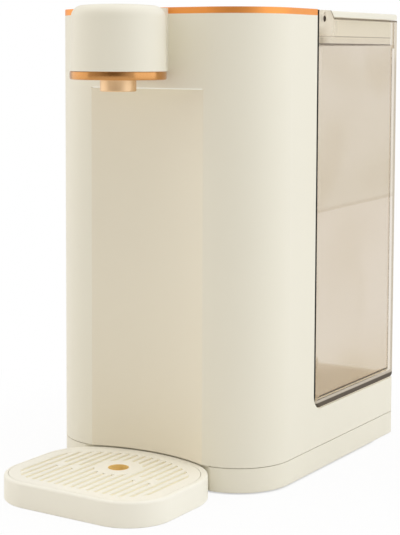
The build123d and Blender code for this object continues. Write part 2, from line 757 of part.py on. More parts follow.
# Instant heater: a steel tube between two caps, held by two clamps on the liner
heater_x = pump_x - port_dx
heater_y = liner_front_y - 26
heater_r = 16
heater_wall = 1.2
heater_len = 118
heater_drop = 37  # heater's top below the hose hole
heater_top_z = hose_hole_z - heater_drop
heater_bottom_z = heater_top_z - heater_len
cap_h = 10
cap_r = heater_r + 2
with BuildPart() as heater_tube:
    with BuildSketch(Plane.XY.offset(heater_bottom_z)):
        with Locations((heater_x, heater_y)):
            Circle(heater_r)
            Circle(heater_r - heater_wall, mode=Mode.SUBTRACT)
    extrude(amount=heater_top_z - heater_bottom_z)
finish(heater_tube, "heater_tube")
with BuildPart() as heater_end_caps:
    for cap_z, up in ((heater_bottom_z, -1), (heater_top_z, 1)):
        with BuildSketch(Plane.XY.offset(cap_z)):
            with Locations((heater_x, heater_y)):
                Circle(cap_r)
        extrude(amount=up * cap_h)
        with BuildSketch(Plane.XY.offset(cap_z)):
            with Locations((heater_x, heater_y)):
                Circle(barb_r)
        extrude(amount=up * (cap_h + barb_len))
        with BuildSketch(Plane.XY.offset(cap_z)):
            with Locations((heater_x, heater_y)):
                Circle(heater_r - heater_wall - 1)
        extrude(amount=up * (cap_h - 3), mode=Mode.SUBTRACT)
        with BuildSketch(Plane.XY.offset(cap_z)):
            with Locations((heater_x, heater_y)):
                Circle(barb_r - 1)
        extrude(amount=up * (cap_h + barb_len), mode=Mode.SUBTRACT)
finish(heater_end_caps, "heater_end_caps")
clamp_t = 1.5
clamp_h = 12
clamp_reach = liner_front_y - heater_y
with BuildPart() as heater_clamps:
    for clamp_z in (heater_bottom_z + 12, heater_top_z - 12 - clamp_h):
        with BuildSketch(Plane.XY.offset(clamp_z)):
            with Locations((heater_x, heater_y)):
                Rectangle(2 * heater_r, clamp_reach - clamp_t, align=(Align.CENTER, Align.MIN))
                Rectangle(2 * (heater_r - clamp_t), clamp_reach, align=(Align.CENTER, Align.MIN), mode=Mode.SUBTRACT)
                Circle(heater_r + part_gap / 2 + clamp_t)
                Circle(heater_r + part_gap / 2, mode=Mode.SUBTRACT)
            with Locations((heater_x, liner_front_y)):
                with Locations((-heater_r - 3, 0), (heater_r + 3, 0)):
                    Rectangle(12, clamp_t, align=(Align.CENTER, Align.MAX))
        extrude(amount=clamp_h)
finish(heater_clamps, "heater_clamps")

# Two thermal cut-outs strapped to the heater's front and a probe in its upper cap
cutout_r = 8
cutout_t = 6
with BuildPart() as thermal_cutouts:
    for cutout_z in (heater_bottom_z + 45, heater_bottom_z + 75):
        with BuildSketch(Plane.XZ.offset(-(heater_y - heater_r))):
            with Locations((heater_x, cutout_z)):
                Circle(cutout_r)
        extrude(amount=cutout_t)
        with BuildSketch(Plane.XZ.offset(-(heater_y - heater_r - cutout_t))):
            with Locations((heater_x - 4, cutout_z), (heater_x + 4, cutout_z)):
                Rectangle(0.8, 6)
        extrude(amount=7)
finish(thermal_cutouts, "thermal_cutouts")
probe_r = 2
with BuildPart() as temperature_probe:
    with Locations((heater_x + 10, heater_y, heater_top_z + cap_h)):
        Cylinder(probe_r, 9, align=(Align.CENTER, Align.CENTER, Align.MIN))
        Cylinder(probe_r + 1.5, 2.5, align=(Align.CENTER, Align.CENTER, Align.MIN))
finish(temperature_probe, "temperature_probe")

# Power board on the liner's posts, with relay, heat sink, terminal block and capacitor
board_y = liner_front_y - board_stand
with BuildPart() as power_board:
    with BuildSketch(Plane.XZ.offset(-board_y)):
        with Locations((board_x, board_z)):
            RectangleRounded(board_w, board_h, 2)
    extrude(amount=board_t)
    face_y = board_y - board_t
    with BuildSketch(Plane.XZ.offset(-face_y)):
        with Locations((board_x - 14, board_z + 26)):
            Rectangle(16, 20)
        with Locations((board_x + 14, board_z + 28)):
            Rectangle(14, 22)
    extrude(amount=15)
    with BuildSketch(Plane.XZ.offset(-face_y)):
        with Locations((board_x, board_z - 32)):
            Rectangle(36, 12)
    extrude(amount=10)
    with BuildSketch(Plane.XZ.offset(-face_y)):
        with Locations((board_x + 12, board_z - 4)):
            Circle(8)
    extrude(amount=18)
    with BuildSketch(Plane.XZ.offset(-face_y)):
        with Locations((board_x - 12, board_z - 4)):
            Rectangle(22, 24)
            with GridLocations(4.4, 0, 4, 1):
                Rectangle(1.8, 24, mode=Mode.SUBTRACT)
    extrude(amount=12)
finish(power_board, "power_board")

# Pump under the deck: a motor, a diaphragm head and a cradle on the base's floor
pump_plane = Plane.XZ.offset(-pump_rear_y)
with BuildPart() as pump_motor:
    with BuildSketch(pump_plane):
        with Locations((pump_x, pump_z)):
            Circle(motor_r)
    extrude(amount=motor_len)
    with BuildSketch(Plane.XZ.offset(-(pump_rear_y - motor_wall))):
        with Locations((pump_x, pump_z)):
            Circle(motor_r - motor_wall - 2.5)
    extrude(amount=motor_len - 2 * motor_wall, mode=Mode.SUBTRACT)
    with BuildSketch(pump_plane):
        with Locations((pump_x, pump_z)):
            Circle(shaft_r + pin_fit)
    extrude(amount=motor_len, mode=Mode.SUBTRACT)
finish(pump_motor, "pump_motor")
with BuildPart() as pump_rotor:
    with BuildSketch(Plane.XZ.offset(-(pump_rear_y + 1.5))):
        with Locations((pump_x, pump_z)):
            Circle(shaft_r)
    extrude(amount=motor_len + 9)
    with BuildSketch(Plane.XZ.offset(-(pump_rear_y - 9))):
        with Locations((pump_x, pump_z)):
            Circle(rotor_r)
            with PolarLocations(rotor_r, 3):
                Rectangle(6, 2.4, mode=Mode.SUBTRACT)
    extrude(amount=20)
finish(pump_rotor, "pump_rotor")
with BuildPart() as pump_head:
    with BuildSketch(Plane.XZ.offset(-motor_front_y)) as head_square:
        with Locations((pump_x, pump_z)):
            RectangleRounded(2 * pump_head_r, 2 * pump_head_r - 2, 8)
    extrude(amount=pump_head_len)
    with BuildSketch(Plane.XZ.offset(-motor_front_y)):
        with Locations((pump_x, pump_z)):
            Circle(6)
    extrude(amount=10, mode=Mode.SUBTRACT)
    with BuildSketch(Plane.XZ.offset(-pump_front_y)):
        with Locations((pump_x - port_dx, pump_z), (pump_x + port_dx, pump_z)):
            Circle(barb_r)
    extrude(amount=barb_len)
    with BuildSketch(Plane.XZ.offset(-(pump_front_y - barb_len))):
        with Locations((pump_x - port_dx, pump_z), (pump_x + port_dx, pump_z)):
            Circle(barb_r - 1)
    extrude(amount=-barb_len - 6, mode=Mode.SUBTRACT)
finish(pump_head, "pump_head")
cradle_len = 22
with BuildPart() as pump_cradle:
    with BuildSketch(Plane.XZ.offset(-(pump_rear_y - 8))) as cradle_section:
        with Locations((pump_x, base_floor_z)):
            Rectangle(34, 10, align=(Align.CENTER, Align.MIN))
            Rectangle(50, 2.4, align=(Align.CENTER, Align.MIN))
        with Locations((pump_x, pump_z)):
            Circle(motor_r + part_gap / 2, mode=Mode.SUBTRACT)
    extrude(amount=cradle_len)
finish(pump_cradle, "pump_cradle")

# Valve socket under the deck, with a post that opens the tank's valve
socket_wall = 1.5
socket_floor_z = deck_z - 11
socket_under_z = socket_floor_z - 8
post_r = 1.5
seal_gap = 0.3
post_top_z = tank_z - valve_drop + 1.3
with BuildPart() as valve_socket:
    with BuildSketch(Plane.XY.offset(socket_under_z)):
        with Locations((0, valve_y)):
            Circle(9)
    extrude(amount=socket_floor_z - socket_under_z)
    with BuildSketch(Plane.XY.offset(socket_floor_z - 2)):
        with Locations((0, valve_y)):
            Circle(socket_r)
    extrude(amount=deck_z - socket_floor_z + 2)
    with BuildSketch(Plane.XY.offset(deck_under_z)):
        with Locations((0, valve_y)):
            Circle(socket_flange_r)
    extrude(amount=-2)
    with BuildSketch(Plane.XY.offset(socket_floor_z)):
        with Locations((0, valve_y)):
            Circle(socket_r - socket_wall)
    extrude(amount=deck_z, mode=Mode.SUBTRACT)
    with BuildSketch(Plane.XZ.offset(-valve_y)):
        with Locations((0, socket_under_z + 5)):
            Circle(barb_r)
    extrude(amount=22)
    with BuildSketch(Plane.XY.offset(socket_under_z + 2)):
        with Locations((0, valve_y)):
            Circle(6.5)
    extrude(amount=socket_floor_z, mode=Mode.SUBTRACT)
    with BuildSketch(Plane.XZ.offset(-valve_y)):
        with Locations((0, socket_under_z + 5)):
            Circle(barb_r - 1)
    extrude(amount=22, mode=Mode.SUBTRACT)
    # The post stands on a bridge across the outlet
    with BuildSketch(Plane.XY.offset(socket_floor_z - 2)):
        with Locations((0, valve_y)):
            Rectangle(16, 3)
    extrude(amount=2)
    with BuildSketch(Plane.XY.offset(socket_floor_z - 2)):
        with Locations((0, valve_y)):
            Circle(post_r)
    extrude(amount=post_top_z - socket_floor_z + 2)
finish(valve_socket, "valve_socket")
with BuildPart() as socket_seal:
    with BuildSketch(Plane.XY.offset(socket_floor_z + 4)):
        with Locations((0, valve_y)):
            Circle(socket_r - socket_wall)
            Circle(valve_r + seal_gap, mode=Mode.SUBTRACT)
    extrude(amount=3)
finish(socket_seal, "socket_seal")

# Hoses: soft tubes pushed over the barbs, bent in smooth quarter turns


def hose(points, radius):
    """A round hose along straight runs joined by arcs."""
    with BuildPart() as tube:
        with BuildLine() as route:
            FilletPolyline(*points, radius=radius)
        with BuildSketch(Plane(origin=route.line @ 0, z_dir=route.line % 0)):
            Circle(hose_r)
            Circle(hose_bore_r, mode=Mode.SUBTRACT)
        sweep(path=route.line)
    return tube


inlet_hose_start = (0, valve_y - socket_r - 1, socket_under_z + 5)
# The first hose turns in front of both the pump's port and the tank's socket
hose_front_y = min(pump_front_y - 26, inlet_hose_start[1] - 22.6)
hose_tank_to_pump = hose(
    [
        inlet_hose_start,
        (0, hose_front_y, socket_under_z + 5),
        (pump_x + port_dx, hose_front_y, pump_z),
        (pump_x + port_dx, pump_front_y - 1, pump_z),
    ],
    12,
)
finish(hose_tank_to_pump, "hose_tank_to_pump")
hose_pump_to_heater = hose(
    [
        (pump_x - port_dx, pump_front_y - 1, pump_z),
        (heater_x, heater_y, pump_z),
        (heater_x, heater_y, heater_bottom_z - cap_h - 1),
    ],
    16,
)
finish(hose_pump_to_heater, "hose_pump_to_heater")
hose_heater_to_spout = hose(
    [
        (heater_x, heater_y, heater_top_z + cap_h + 1),
        (heater_x, heater_y, hose_hole_z),
        (0, heater_y, hose_hole_z),
        (0, spout_y + chamber_r + 1, hose_hole_z),
    ],
    12,
)
finish(hose_heater_to_spout, "hose_heater_to_spout")


# Water tank


def tank_block(inset=0, floor=0):
    """Outer or inner form of the tank, taller than its rim so that it can be cut there."""
    with BuildPart() as block:
        with BuildSketch(Plane.YZ.offset(-side_x + inset)) as side:
            with Locations((tank_y + inset, tank_z + floor)):
                Rectangle(rear_y - tank_y - 2 * inset, body_height, align=(Align.MIN, Align.MIN))
            low = side.vertices().group_by(Axis.Y)[0].sort_by(Axis.X)
            fillet(low[0], tank_front_r - inset)
            low = side.vertices().group_by(Axis.Y)[0].sort_by(Axis.X)
            fillet(low[-1], max(tank_rear_r - inset, 1))
        extrude(amount=body_width - 2 * inset)
        ends = block.faces().filter_by(Axis.X).edges().filter_by(lambda e: e.center().Z < body_height)
        if inset:
            upright = ends.filter_by(Axis.Z)
            fillet(upright, tank_corner_r)
        else:
            fillet(ends, tank_edge_r)
    return block.part


with BuildPart() as water_tank:
    add(tank_block())
    add(tank_block(tank_wall, tank_floor), mode=Mode.SUBTRACT)
    # The rounding of the upright corners ends below the lid's skirt
    with BuildSketch(Plane.XY.offset(skirt_bottom_z - seal_h - 2)):
        with Locations((0, (tank_in_y + tank_in_rear) / 2)):
            RectangleRounded(2 * tank_in_x, tank_in_rear - tank_in_y, 0.8)
    extrude(amount=body_height, mode=Mode.SUBTRACT)
    # Above the rim only the front wall and the two hinge ears stay
    with BuildSketch(Plane.YZ.offset(-body_width)):
        with BuildLine():
            Polyline(
                (tank_y - 1, ear_z),
                (tank_y + ear_reach, ear_z),
                (tank_y + ear_reach + ear_slope, rim_z),
                (rear_y + 1, rim_z),
                (rear_y + 1, 2 * body_height),
                (tank_y - 1, 2 * body_height),
                close=True,
            )
        make_face()
    extrude(amount=2 * body_width, mode=Mode.SUBTRACT)
    with BuildSketch(Plane.YZ.offset(-tank_in_x)):
        with Locations((tank_y, ear_z - upstand_drop)):
            Rectangle(tank_wall + 1, 10, align=(Align.MIN, Align.MIN))
    extrude(amount=2 * tank_in_x, mode=Mode.SUBTRACT)
    # Pin holes, each with a narrow snap slot above it
    with BuildSketch(Plane.YZ.offset(-body_width)):
        with Locations((hinge_y, hinge_z)):
            Circle(hinge_pin_r + part_gap / 5)
        with Locations((hinge_y, hinge_z + hinge_pin_r + 1.2)):
            SlotOverall(2.2, 1.2, rotation=90)
    extrude(amount=2 * body_width, mode=Mode.SUBTRACT)
    with BuildSketch(Plane.XY.offset(tank_z)):
        with Locations((0, valve_y)):
            Circle(valve_r + part_gap)
    extrude(amount=tank_floor + 1, mode=Mode.SUBTRACT)
finish(water_tank, "water_tank")

# Hinge pins, one in each ear
pin_len = 15
with BuildPart() as lid_hinge_pins:
    for side in (-1, 1):
        with BuildSketch(Plane.YZ.offset(side * (side_x - 0.4))):
            with Locations((hinge_y, hinge_z)):
                Circle(hinge_pin_r)
        extrude(amount=-side * pin_len)
finish(lid_hinge_pins, "lid_hinge_pins")

# Lid: a plate over the rim with a hinge barrel in front and a skirt inside the tank
lid_half = tank_in_x - lid_gap
skirt_half = tank_in_x - 2 * move_gap
skirt_front = hinge_y + barrel_r + 1.4
skirt_rear = tank_in_rear - 1.9
skirt_depth = skirt_rear - skirt_front
skirt_mid = (skirt_front + skirt_rear) / 2
with BuildPart() as tank_lid:
    with BuildSketch(Plane.XY.offset(lid_z)) as lid_plan:
        with Locations((0, rear_y)):
            Rectangle(body_width, rear_y - tank_y - ear_reach, align=(Align.CENTER, Align.MAX))
        fillet(lid_plan.vertices().group_by(Axis.Y)[-1], rear_corner_r)
        with Locations((0, hinge_y)):
            Rectangle(2 * lid_half, 2 * ear_reach, align=(Align.CENTER, Align.MIN))
    extrude(amount=lid_top_z - lid_z)
    rim_edges = tank_lid.faces().sort_by(Axis.Z)[-1].edges().filter_by(lambda e: e.center().Y > tank_y + ear_reach + 1)
    fillet(rim_edges.filter_by(lambda e: e.center().Y > rear_y - 4 or abs(e.center().X) > lid_half + 1), 1)
    # Clear of the ears' slopes
    with BuildSketch(Plane.YZ.offset(-body_width)):
        with BuildLine():
            Polyline(
                (tank_y, rim_z),
                (tank_y, 2 * rim_z),
                (tank_y + ear_reach + lid_gap, 2 * rim_z),
                (tank_y + ear_reach + lid_gap, ear_z),
                (tank_y + ear_reach + ear_slope + lid_gap, rim_z),
                close=True,
            )
        make_face()
    extrude(amount=body_width - lid_half, mode=Mode.SUBTRACT)
    with BuildSketch(Plane.YZ.offset(lid_half)):
        with BuildLine():
            Polyline(
                (tank_y, rim_z),
                (tank_y, 2 * rim_z),
                (tank_y + ear_reach + lid_gap, 2 * rim_z),
                (tank_y + ear_reach + lid_gap, ear_z),
                (tank_y + ear_reach + ear_slope + lid_gap, rim_z),
                close=True,
            )
        make_face()
    extrude(amount=body_width - lid_half, mode=Mode.SUBTRACT)
    # Hinge barrel
    with BuildSketch(Plane.YZ.offset(-lid_half)):
        with Locations((hinge_y, hinge_z)):
            Circle(barrel_r)
            Rectangle(barrel_r + 3, barrel_r, align=(Align.MIN, Align.MIN))
    extrude(amount=2 * lid_half)
    # Finger notch under the plate's rear edge
    with BuildSketch(Plane.XY.offset(lid_z)):
        with Locations((0, rear_y)):
            Rectangle(lid_notch_w, 2 * lid_notch_depth)
    extrude(amount=lid_notch_h, mode=Mode.SUBTRACT)
    # Skirt and the hollow inside it
    with BuildSketch(Plane.XY.offset(skirt_bottom_z)):
        with Locations((0, skirt_mid)):
            RectangleRounded(2 * skirt_half, skirt_depth, 4)
    extrude(amount=lid_z - skirt_bottom_z)
    with BuildSketch(Plane.XY.offset(skirt_bottom_z)):
        with Locations((0, skirt_mid)):
            RectangleRounded(2 * (skirt_half - skirt_t), skirt_depth - 2 * skirt_t, 3)
    extrude(amount=lid_top_z - lid_t - skirt_bottom_z, mode=Mode.SUBTRACT)
    for side in (-1, 1):
        with BuildSketch(Plane.YZ.offset(side * lid_half)):
            with Locations((hinge_y, hinge_z)):
                Circle(hinge_pin_r + pin_fit)
        extrude(amount=-side * (pin_len - tank_wall + 1), mode=Mode.SUBTRACT)
finish(tank_lid, "tank_lid")

# Seal: a soft ring under the skirt
with BuildPart() as lid_seal:
    with BuildSketch(Plane.XY.offset(skirt_bottom_z - seal_h)):
        with Locations((0, skirt_mid)):
            RectangleRounded(2 * skirt_half - 0.2, skirt_depth - 0.2, 4)
            RectangleRounded(2 * (skirt_half - seal_t), skirt_depth - 2 * seal_t, 3, mode=Mode.SUBTRACT)
    extrude(amount=seal_h)
finish(lid_seal, "lid_seal")

# Tank valve: a flanged body in the tank's floor, with a sprung poppet and a filter cup
valve_flange_r = 16
valve_flange_t = 2.2
valve_bore_r = 9
seat_z = tank_z - 1.5
seat_t = 1.8
seat_hole_r = 5.5
valve_bottom_z = tank_z - valve_drop
valve_top_z = tank_floor_z + valve_flange_t
with BuildPart() as tank_valve_body:
    with BuildSketch(Plane.YZ) as valve_section:
        with BuildLine():
            Polyline(
                (valve_y + seat_hole_r, seat_z - seat_t),
                (valve_y + valve_bore_r, seat_z - seat_t),
                (valve_y + valve_bore_r, valve_bottom_z),
                (valve_y + valve_r, valve_bottom_z),
                (valve_y + valve_r, tank_floor_z),
                (valve_y + valve_flange_r, tank_floor_z),
                (valve_y + valve_flange_r, valve_top_z),
                (valve_y + valve_bore_r, valve_top_z),
                (valve_y + valve_bore_r, seat_z),
                (valve_y + seat_hole_r, seat_z),
                close=True,
            )
        make_face()
    revolve(axis=Axis((0, valve_y, 0), (0, 0, 1)))
finish(tank_valve_body, "tank_valve_body")

# Poppet: held up by the socket's post while the tank stands on the deck
poppet_z = seat_z + poppet_lift
poppet_t = 2
with BuildPart() as valve_poppet:
    with BuildSketch(Plane.XY.offset(poppet_z)):
        with Locations((0, valve_y)):
            Circle(poppet_r)
    extrude(amount=poppet_t)
    chamfer(valve_poppet.faces().sort_by(Axis.Z)[0].edges(), 0.6)
    with BuildSketch(Plane.XY.offset(post_top_z + 0.2)):
        with Locations((0, valve_y)):
            Circle(stem_r)
    extrude(amount=poppet_z - post_top_z - 0.2)
    with BuildSketch(Plane.XY.offset(poppet_z + poppet_t)):
        with Locations((0, valve_y)):
            Circle(1.5)
    extrude(amount=3)
finish(valve_poppet, "valve_poppet")

# Filter cup over the valve, with a hub that the spring pushes against
filter_r = 15
filter_h = 15
filter_wall = 1.4
filter_top_z = valve_top_z + filter_h
spring_top_z = valve_top_z + 5
with BuildPart() as tank_filter:
    with BuildSketch(Plane.XY.offset(valve_top_z)):
        with Locations((0, valve_y)):
            Circle(filter_r)
    extrude(amount=filter_h)
    with BuildSketch(Plane.XY.offset(valve_top_z)):
        with Locations((0, valve_y)):
            Circle(filter_r - filter_wall)
    extrude(amount=filter_h - filter_wall, mode=Mode.SUBTRACT)
    with BuildSketch(Plane.XY.offset(filter_top_z)):
        with Locations((0, valve_y)):
            Circle(4.5)
    extrude(amount=spring_top_z - filter_top_z)
    with BuildSketch(Plane.XY.offset(valve_top_z + 2)):
        with Locations((0, valve_y)):
            with PolarLocations(filter_r, 16):
                Rectangle(2 * filter_wall + 1, 2.4)
    extrude(amount=filter_h - 5, mode=Mode.SUBTRACT)
finish(tank_filter, "tank_filter")

# Valve spring between poppet and hub
spring_r = 3.2
spring_wire_r = 0.35
spring_turns = 4
spring_low_z = poppet_z + poppet_t + spring_wire_r + 0.05
spring_len = spring_top_z - spring_low_z - spring_wire_r - 0.05
with BuildPart() as valve_spring:
    with BuildLine() as coil:
        Helix(spring_len / spring_turns, spring_len, spring_r, center=(0, valve_y, spring_low_z))
    with BuildSketch(Plane(origin=coil.line @ 0, z_dir=coil.line % 0)):
        RegularPolygon(spring_wire_r, 6)
    sweep(path=coil.line, is_frenet=True)
finish(valve_spring, "valve_spring")

# Drip tray: a shallow pan whose grille rests on a ledge
ledge_t = 1.8
grille_z = tray_h - grille_t
with BuildPart() as drip_tray:
    with BuildSketch():
        add(tray_plan())
    extrude(amount=tray_h)
    fillet(drip_tray.faces().sort_by(Axis.Z)[-1].edges(), tray_edge_r)
    chamfer(drip_tray.faces().sort_by(Axis.Z)[0].edges(), 0.5)
    with BuildSketch(Plane.XY.offset(grille_z - move_gap)):
        add(tray_plan(tray_wall, grille_rear_rim))
    extrude(amount=tray_h, mode=Mode.SUBTRACT)
    with BuildSketch(Plane.XY.offset(tray_floor)):
        add(tray_plan(tray_wall + ledge_t, grille_rear_rim))
    extrude(amount=tray_h, mode=Mode.SUBTRACT)
finish(drip_tray, "drip_tray")

# Grille: a slotted plate with a round drain hole under the nozzle
grille_inset = tray_wall + 0.25
slot_break_y = spout_y - 12.5
slot_break = 7
with BuildPart() as tray_grille:
    with BuildSketch(Plane.XY.offset(grille_z)):
        add(tray_plan(grille_inset, grille_rear_rim))
    extrude(amount=grille_t)
    with BuildSketch(Plane.XY.offset(grille_z)):
        with Locations((0, spout_y)):
            Circle(drain_hole_r + drain_collar_t)
    extrude(amount=-(grille_z - tray_floor - 3))
    with BuildSketch(Plane.XY.offset(tray_h)) as slots:
        with Locations((0, front_y - tray_reach / 2)):
            with GridLocations(slot_pitch, 0, 2 * slot_side_count + 1, 1):
                Rectangle(slot_width, 3 * tray_reach)
        add(tray_plan(grille_border), mode=Mode.INTERSECT)
        with Locations((0, front_y - slot_rear_r)):
            Circle(slot_rear_r, mode=Mode.INTERSECT)
        with Locations((0, spout_y)):
            Circle(drain_land_r, mode=Mode.SUBTRACT)
        # Every slot but the outer two has a bridge in it, staggered from one to the next
        bridged = [slot_pitch * step for step in (slot_side_count - 2, slot_side_count - 4)]
        with Locations(*[(side * x, slot_break_y) for x in bridged for side in (-1, 1)]):
            Rectangle(slot_pitch, slot_break, mode=Mode.SUBTRACT)
    extrude(amount=-grille_t, taper=slot_draft, mode=Mode.SUBTRACT)
    with BuildSketch(Plane.XY.offset(tray_floor)):
        with Locations((0, spout_y)):
            Circle(drain_hole_r)
    extrude(amount=tray_h, mode=Mode.SUBTRACT)
finish(tray_grille, "tray_grille")
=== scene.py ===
# %% [markdown]
# # A countertop hot water dispenser
# A slim cream body with round front corners, a shallow cup bay, a round spout head with a copper ring,
# a smoky tank at the rear with a hinged lid, and a flat drip tray with a slotted grille. The shapes come
# from the CAD model, so this lesson is mostly about finishes, light and the camera. Everything is in
# metres: +Z is up, -Y is the front with the spout, and +X is the right side seen from the front.

# %% Load the CAD frame
import bpy
import bmesh
import json
import math
from mathutils import Matrix, Vector


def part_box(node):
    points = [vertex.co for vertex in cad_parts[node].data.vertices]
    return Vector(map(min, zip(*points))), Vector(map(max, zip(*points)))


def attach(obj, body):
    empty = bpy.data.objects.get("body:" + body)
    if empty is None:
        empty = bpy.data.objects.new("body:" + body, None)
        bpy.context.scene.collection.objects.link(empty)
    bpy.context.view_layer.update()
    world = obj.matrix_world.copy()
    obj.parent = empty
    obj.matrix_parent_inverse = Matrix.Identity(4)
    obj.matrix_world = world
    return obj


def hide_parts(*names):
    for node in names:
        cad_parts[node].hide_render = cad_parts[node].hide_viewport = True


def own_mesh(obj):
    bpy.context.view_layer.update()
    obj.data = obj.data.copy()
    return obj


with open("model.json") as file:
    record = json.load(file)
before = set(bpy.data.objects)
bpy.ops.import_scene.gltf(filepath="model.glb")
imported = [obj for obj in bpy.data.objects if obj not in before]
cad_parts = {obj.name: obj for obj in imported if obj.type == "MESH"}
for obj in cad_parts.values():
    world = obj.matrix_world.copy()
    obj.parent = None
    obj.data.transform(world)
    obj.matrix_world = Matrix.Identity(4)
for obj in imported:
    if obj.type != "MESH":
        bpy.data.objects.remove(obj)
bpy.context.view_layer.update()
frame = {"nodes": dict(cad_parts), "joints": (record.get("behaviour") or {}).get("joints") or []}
nodes = frame["nodes"]

# %% [markdown]
# ## Shader maths
# A finish such as satin plastic is a formula: a base colour, a little grain, a roughness that drifts.
# Blender writes formulas as nodes and wires. Nodes could be placed and joined one by one, but that hides
# the sum. Here one small class stands for a wire and overloads Python's operators, so 0.4 + 0.1 * grain
# adds the Math nodes by itself. Colours and vectors don't go through Math nodes, because these turn a
# colour grey.

# %% A wire that can be used in sums
class Wire:
    """An output of a node. Sums with it add Math nodes."""

    def __init__(self, finish, socket):
        self.finish = finish
        self.socket = socket

    def math(self, operation, *values):
        """One Math node on wires and numbers."""
        return self.finish.node("Math", {"operation": operation}, dict(enumerate(values)))

    def __add__(self, other):
        return self.math("ADD", self, other)

    def __sub__(self, other):
        return self.math("SUBTRACT", self, other)

    def __rsub__(self, other):
        return self.math("SUBTRACT", other, self)

    def __mul__(self, other):
        return self.math("MULTIPLY", self, other)

    def __abs__(self):
        return self.math("ABSOLUTE", self)

    def largest(self, *others):
        """The largest of this wire and other wires or numbers."""
        value = self
        for other in others:
            value = self.math("MAXIMUM", value, other)
        return value

    __radd__ = __add__
    __rmul__ = __mul__


print("wires:", [name for name in vars(Wire) if name.startswith("__r")])

# %% [markdown]
# ## A finish
# A finish owns one material. Its one method for nodes sets the settings first, such as a noise type or
# an operation, and then the sockets, each with a value or a wire. The other methods are short names for
# what the finishes below use often. A value that is the same all over the surface is set on the shader's
# own socket, because an exported model keeps it only there.

# %% A finish
def linear(red, green, blue):
    """A colour as a picture shows it, 0 to 255, turned into the linear values that shaders use."""
    shares = [channel / 255 for channel in (red, green, blue)]
    return tuple(s / 12.92 if s < 0.0404 else ((s + 0.055) / 1.055) ** 2.4 for s in shares) + (1,)


class Finish:
    """A material made of one Principled shader and the nodes that feed it."""

    def __init__(self, name, tree=None, **plain):
        self.material = None if tree else bpy.data.materials.new(name)
        if self.material:
            self.material.use_nodes = True
        self.tree = tree or self.material.node_tree
        self.tree.nodes.clear()
        if self.material:
            self.shader = self.node("BsdfPrincipled", {}, plain)
            self.node("OutputMaterial", {}, {"Surface": self.shader})

    def node(self, kind, settings=None, sockets=None, out=0):
        """Adds one node: its settings are set first, then its sockets. Returns the wire out of it."""
        made = self.tree.nodes.new("ShaderNode" + kind)
        for key, value in (settings or {}).items():
            setattr(made, key, value)
        for key, value in (sockets or {}).items():
            self.feed(made.inputs[key], value)
        return Wire(self, made.outputs[out]) if made.outputs else None

    def feed(self, socket, value):
        """Gives a socket a wire or a plain value."""
        if isinstance(value, Wire):
            self.tree.links.new(value.socket, socket)
        else:
            socket.default_value = value

    def shade(self, **wires):
        """Feeds the Principled shader: Base_Color stands for Base Color."""
        for key, value in wires.items():
            self.feed(self.shader.socket.node.inputs[key.replace("_", " ")], value)

    def own_colour(self):
        """The wire that colours the Principled shader so far, to lay another colour over it."""
        return Wire(self, self.shader.socket.node.inputs["Base Color"].links[0].from_socket)

    def surface(self, shader):
        """Shows another shader than the Principled one."""
        self.feed(self.tree.nodes["Material Output"].inputs["Surface"], shader)

    def place(self):
        """Where a point of the surface is, in metres. A CAD node's own coordinates are the frame's."""
        return self.node("TexCoord", out="Object")

    def height(self, axis):
        """One coordinate of the surface's place."""
        return self.node("SeparateXYZ", {}, {0: self.place()}, out=axis)

    def noise(self, scale, detail=2.0, stretch=None):
        """A soft random value from 0 to 1, its grain about 1 / scale metres wide."""
        place = self.place()
        if stretch:
            place = self.node("Mapping", {}, {"Vector": place, "Scale": stretch})
        return self.node("TexNoise", {"noise_dimensions": "3D"},
                         {"Vector": place, "Scale": scale, "Detail": detail})

    def bump(self, height, depth, strength=1.0):
        """Turns a height from 0 to 1 into a dent or a rise of the given depth in metres."""
        return self.node("Bump", {}, {"Strength": strength, "Distance": depth, "Height": height})

    def mix(self, factor, first, second):
        """A colour between two colours."""
        return self.node("Mix", {"data_type": "RGBA"}, {0: factor, 6: first, 7: second}, out=2)

    def step(self, value, low, high, to_low=0.0, to_high=1.0):
        """A value that runs smoothly from to_low to to_high as another goes from low to high."""
        return self.node(
            "MapRange",
            {"interpolation_type": "SMOOTHSTEP", "clamp": True},
            {"Value": value, "From Min": low, "From Max": high, "To Min": to_low, "To Max": to_high},
        )

    def below(self, value, low, high, most=1.0):
        """Most up to low, then smoothly down to 0 at high."""
        return self.step(value, low, high, most, 0.0)

    def between(self, value, start, full, fading, gone):
        """1 from full to fading, and 0 before start and after gone."""
        return self.step(value, start, full) * self.below(value, fading, gone)

    def length(self, x, y):
        """How long a line is that goes x one way and y the other."""
        line = self.node("CombineXYZ", {}, {0: x, 1: y, 2: 0.0})
        return self.node("VectorMath", {"operation": "LENGTH"}, {0: line}, out="Value")

    def past(self, middle_x, middle_y, half_x, half_y):
        """How far a point lies outside a box seen from above, and 0 inside it.
        Where this is below r, the point is in the box widened by r, with corners of radius r."""
        aside = abs(self.height("X") - middle_x) - half_x
        along = abs(self.height("Y") - middle_y) - half_y
        return self.length(aside.largest(0.0), along.largest(0.0))

    def seen_straight(self):
        """1 for rays from the camera, also those that came through the clear tank, and 0 for all others."""
        return self.node("LightPath", out="Is Camera Ray").largest(
            self.node("LightPath", out="Is Transmission Ray"))

    def paint(self, *names):
        """Gives this finish to CAD nodes, in their objects' own material slots."""
        for name in names:
            if not nodes[name].material_slots:
                nodes[name].data.materials.append(self.material)
            for slot in nodes[name].material_slots:
                slot.link = "OBJECT"
                slot.material = self.material


print("warm white, as the shader sees it:", [round(c, 3) for c in linear(238, 232, 216)])

# %% [markdown]
# ## Cream moulding
# The shell is injection-moulded plastic with a fine satin grain, like very fine leather without its
# creases. A flat colour would look like paper. Three things are added: a colour that drifts by about one
# percent over a hand's width, as pigment does when it flows into the mould, a roughness that drifts with
# it, and a spark-eroded grain about 0.4 mm wide. The grain is a bump, because it is far too small for
# real geometry.

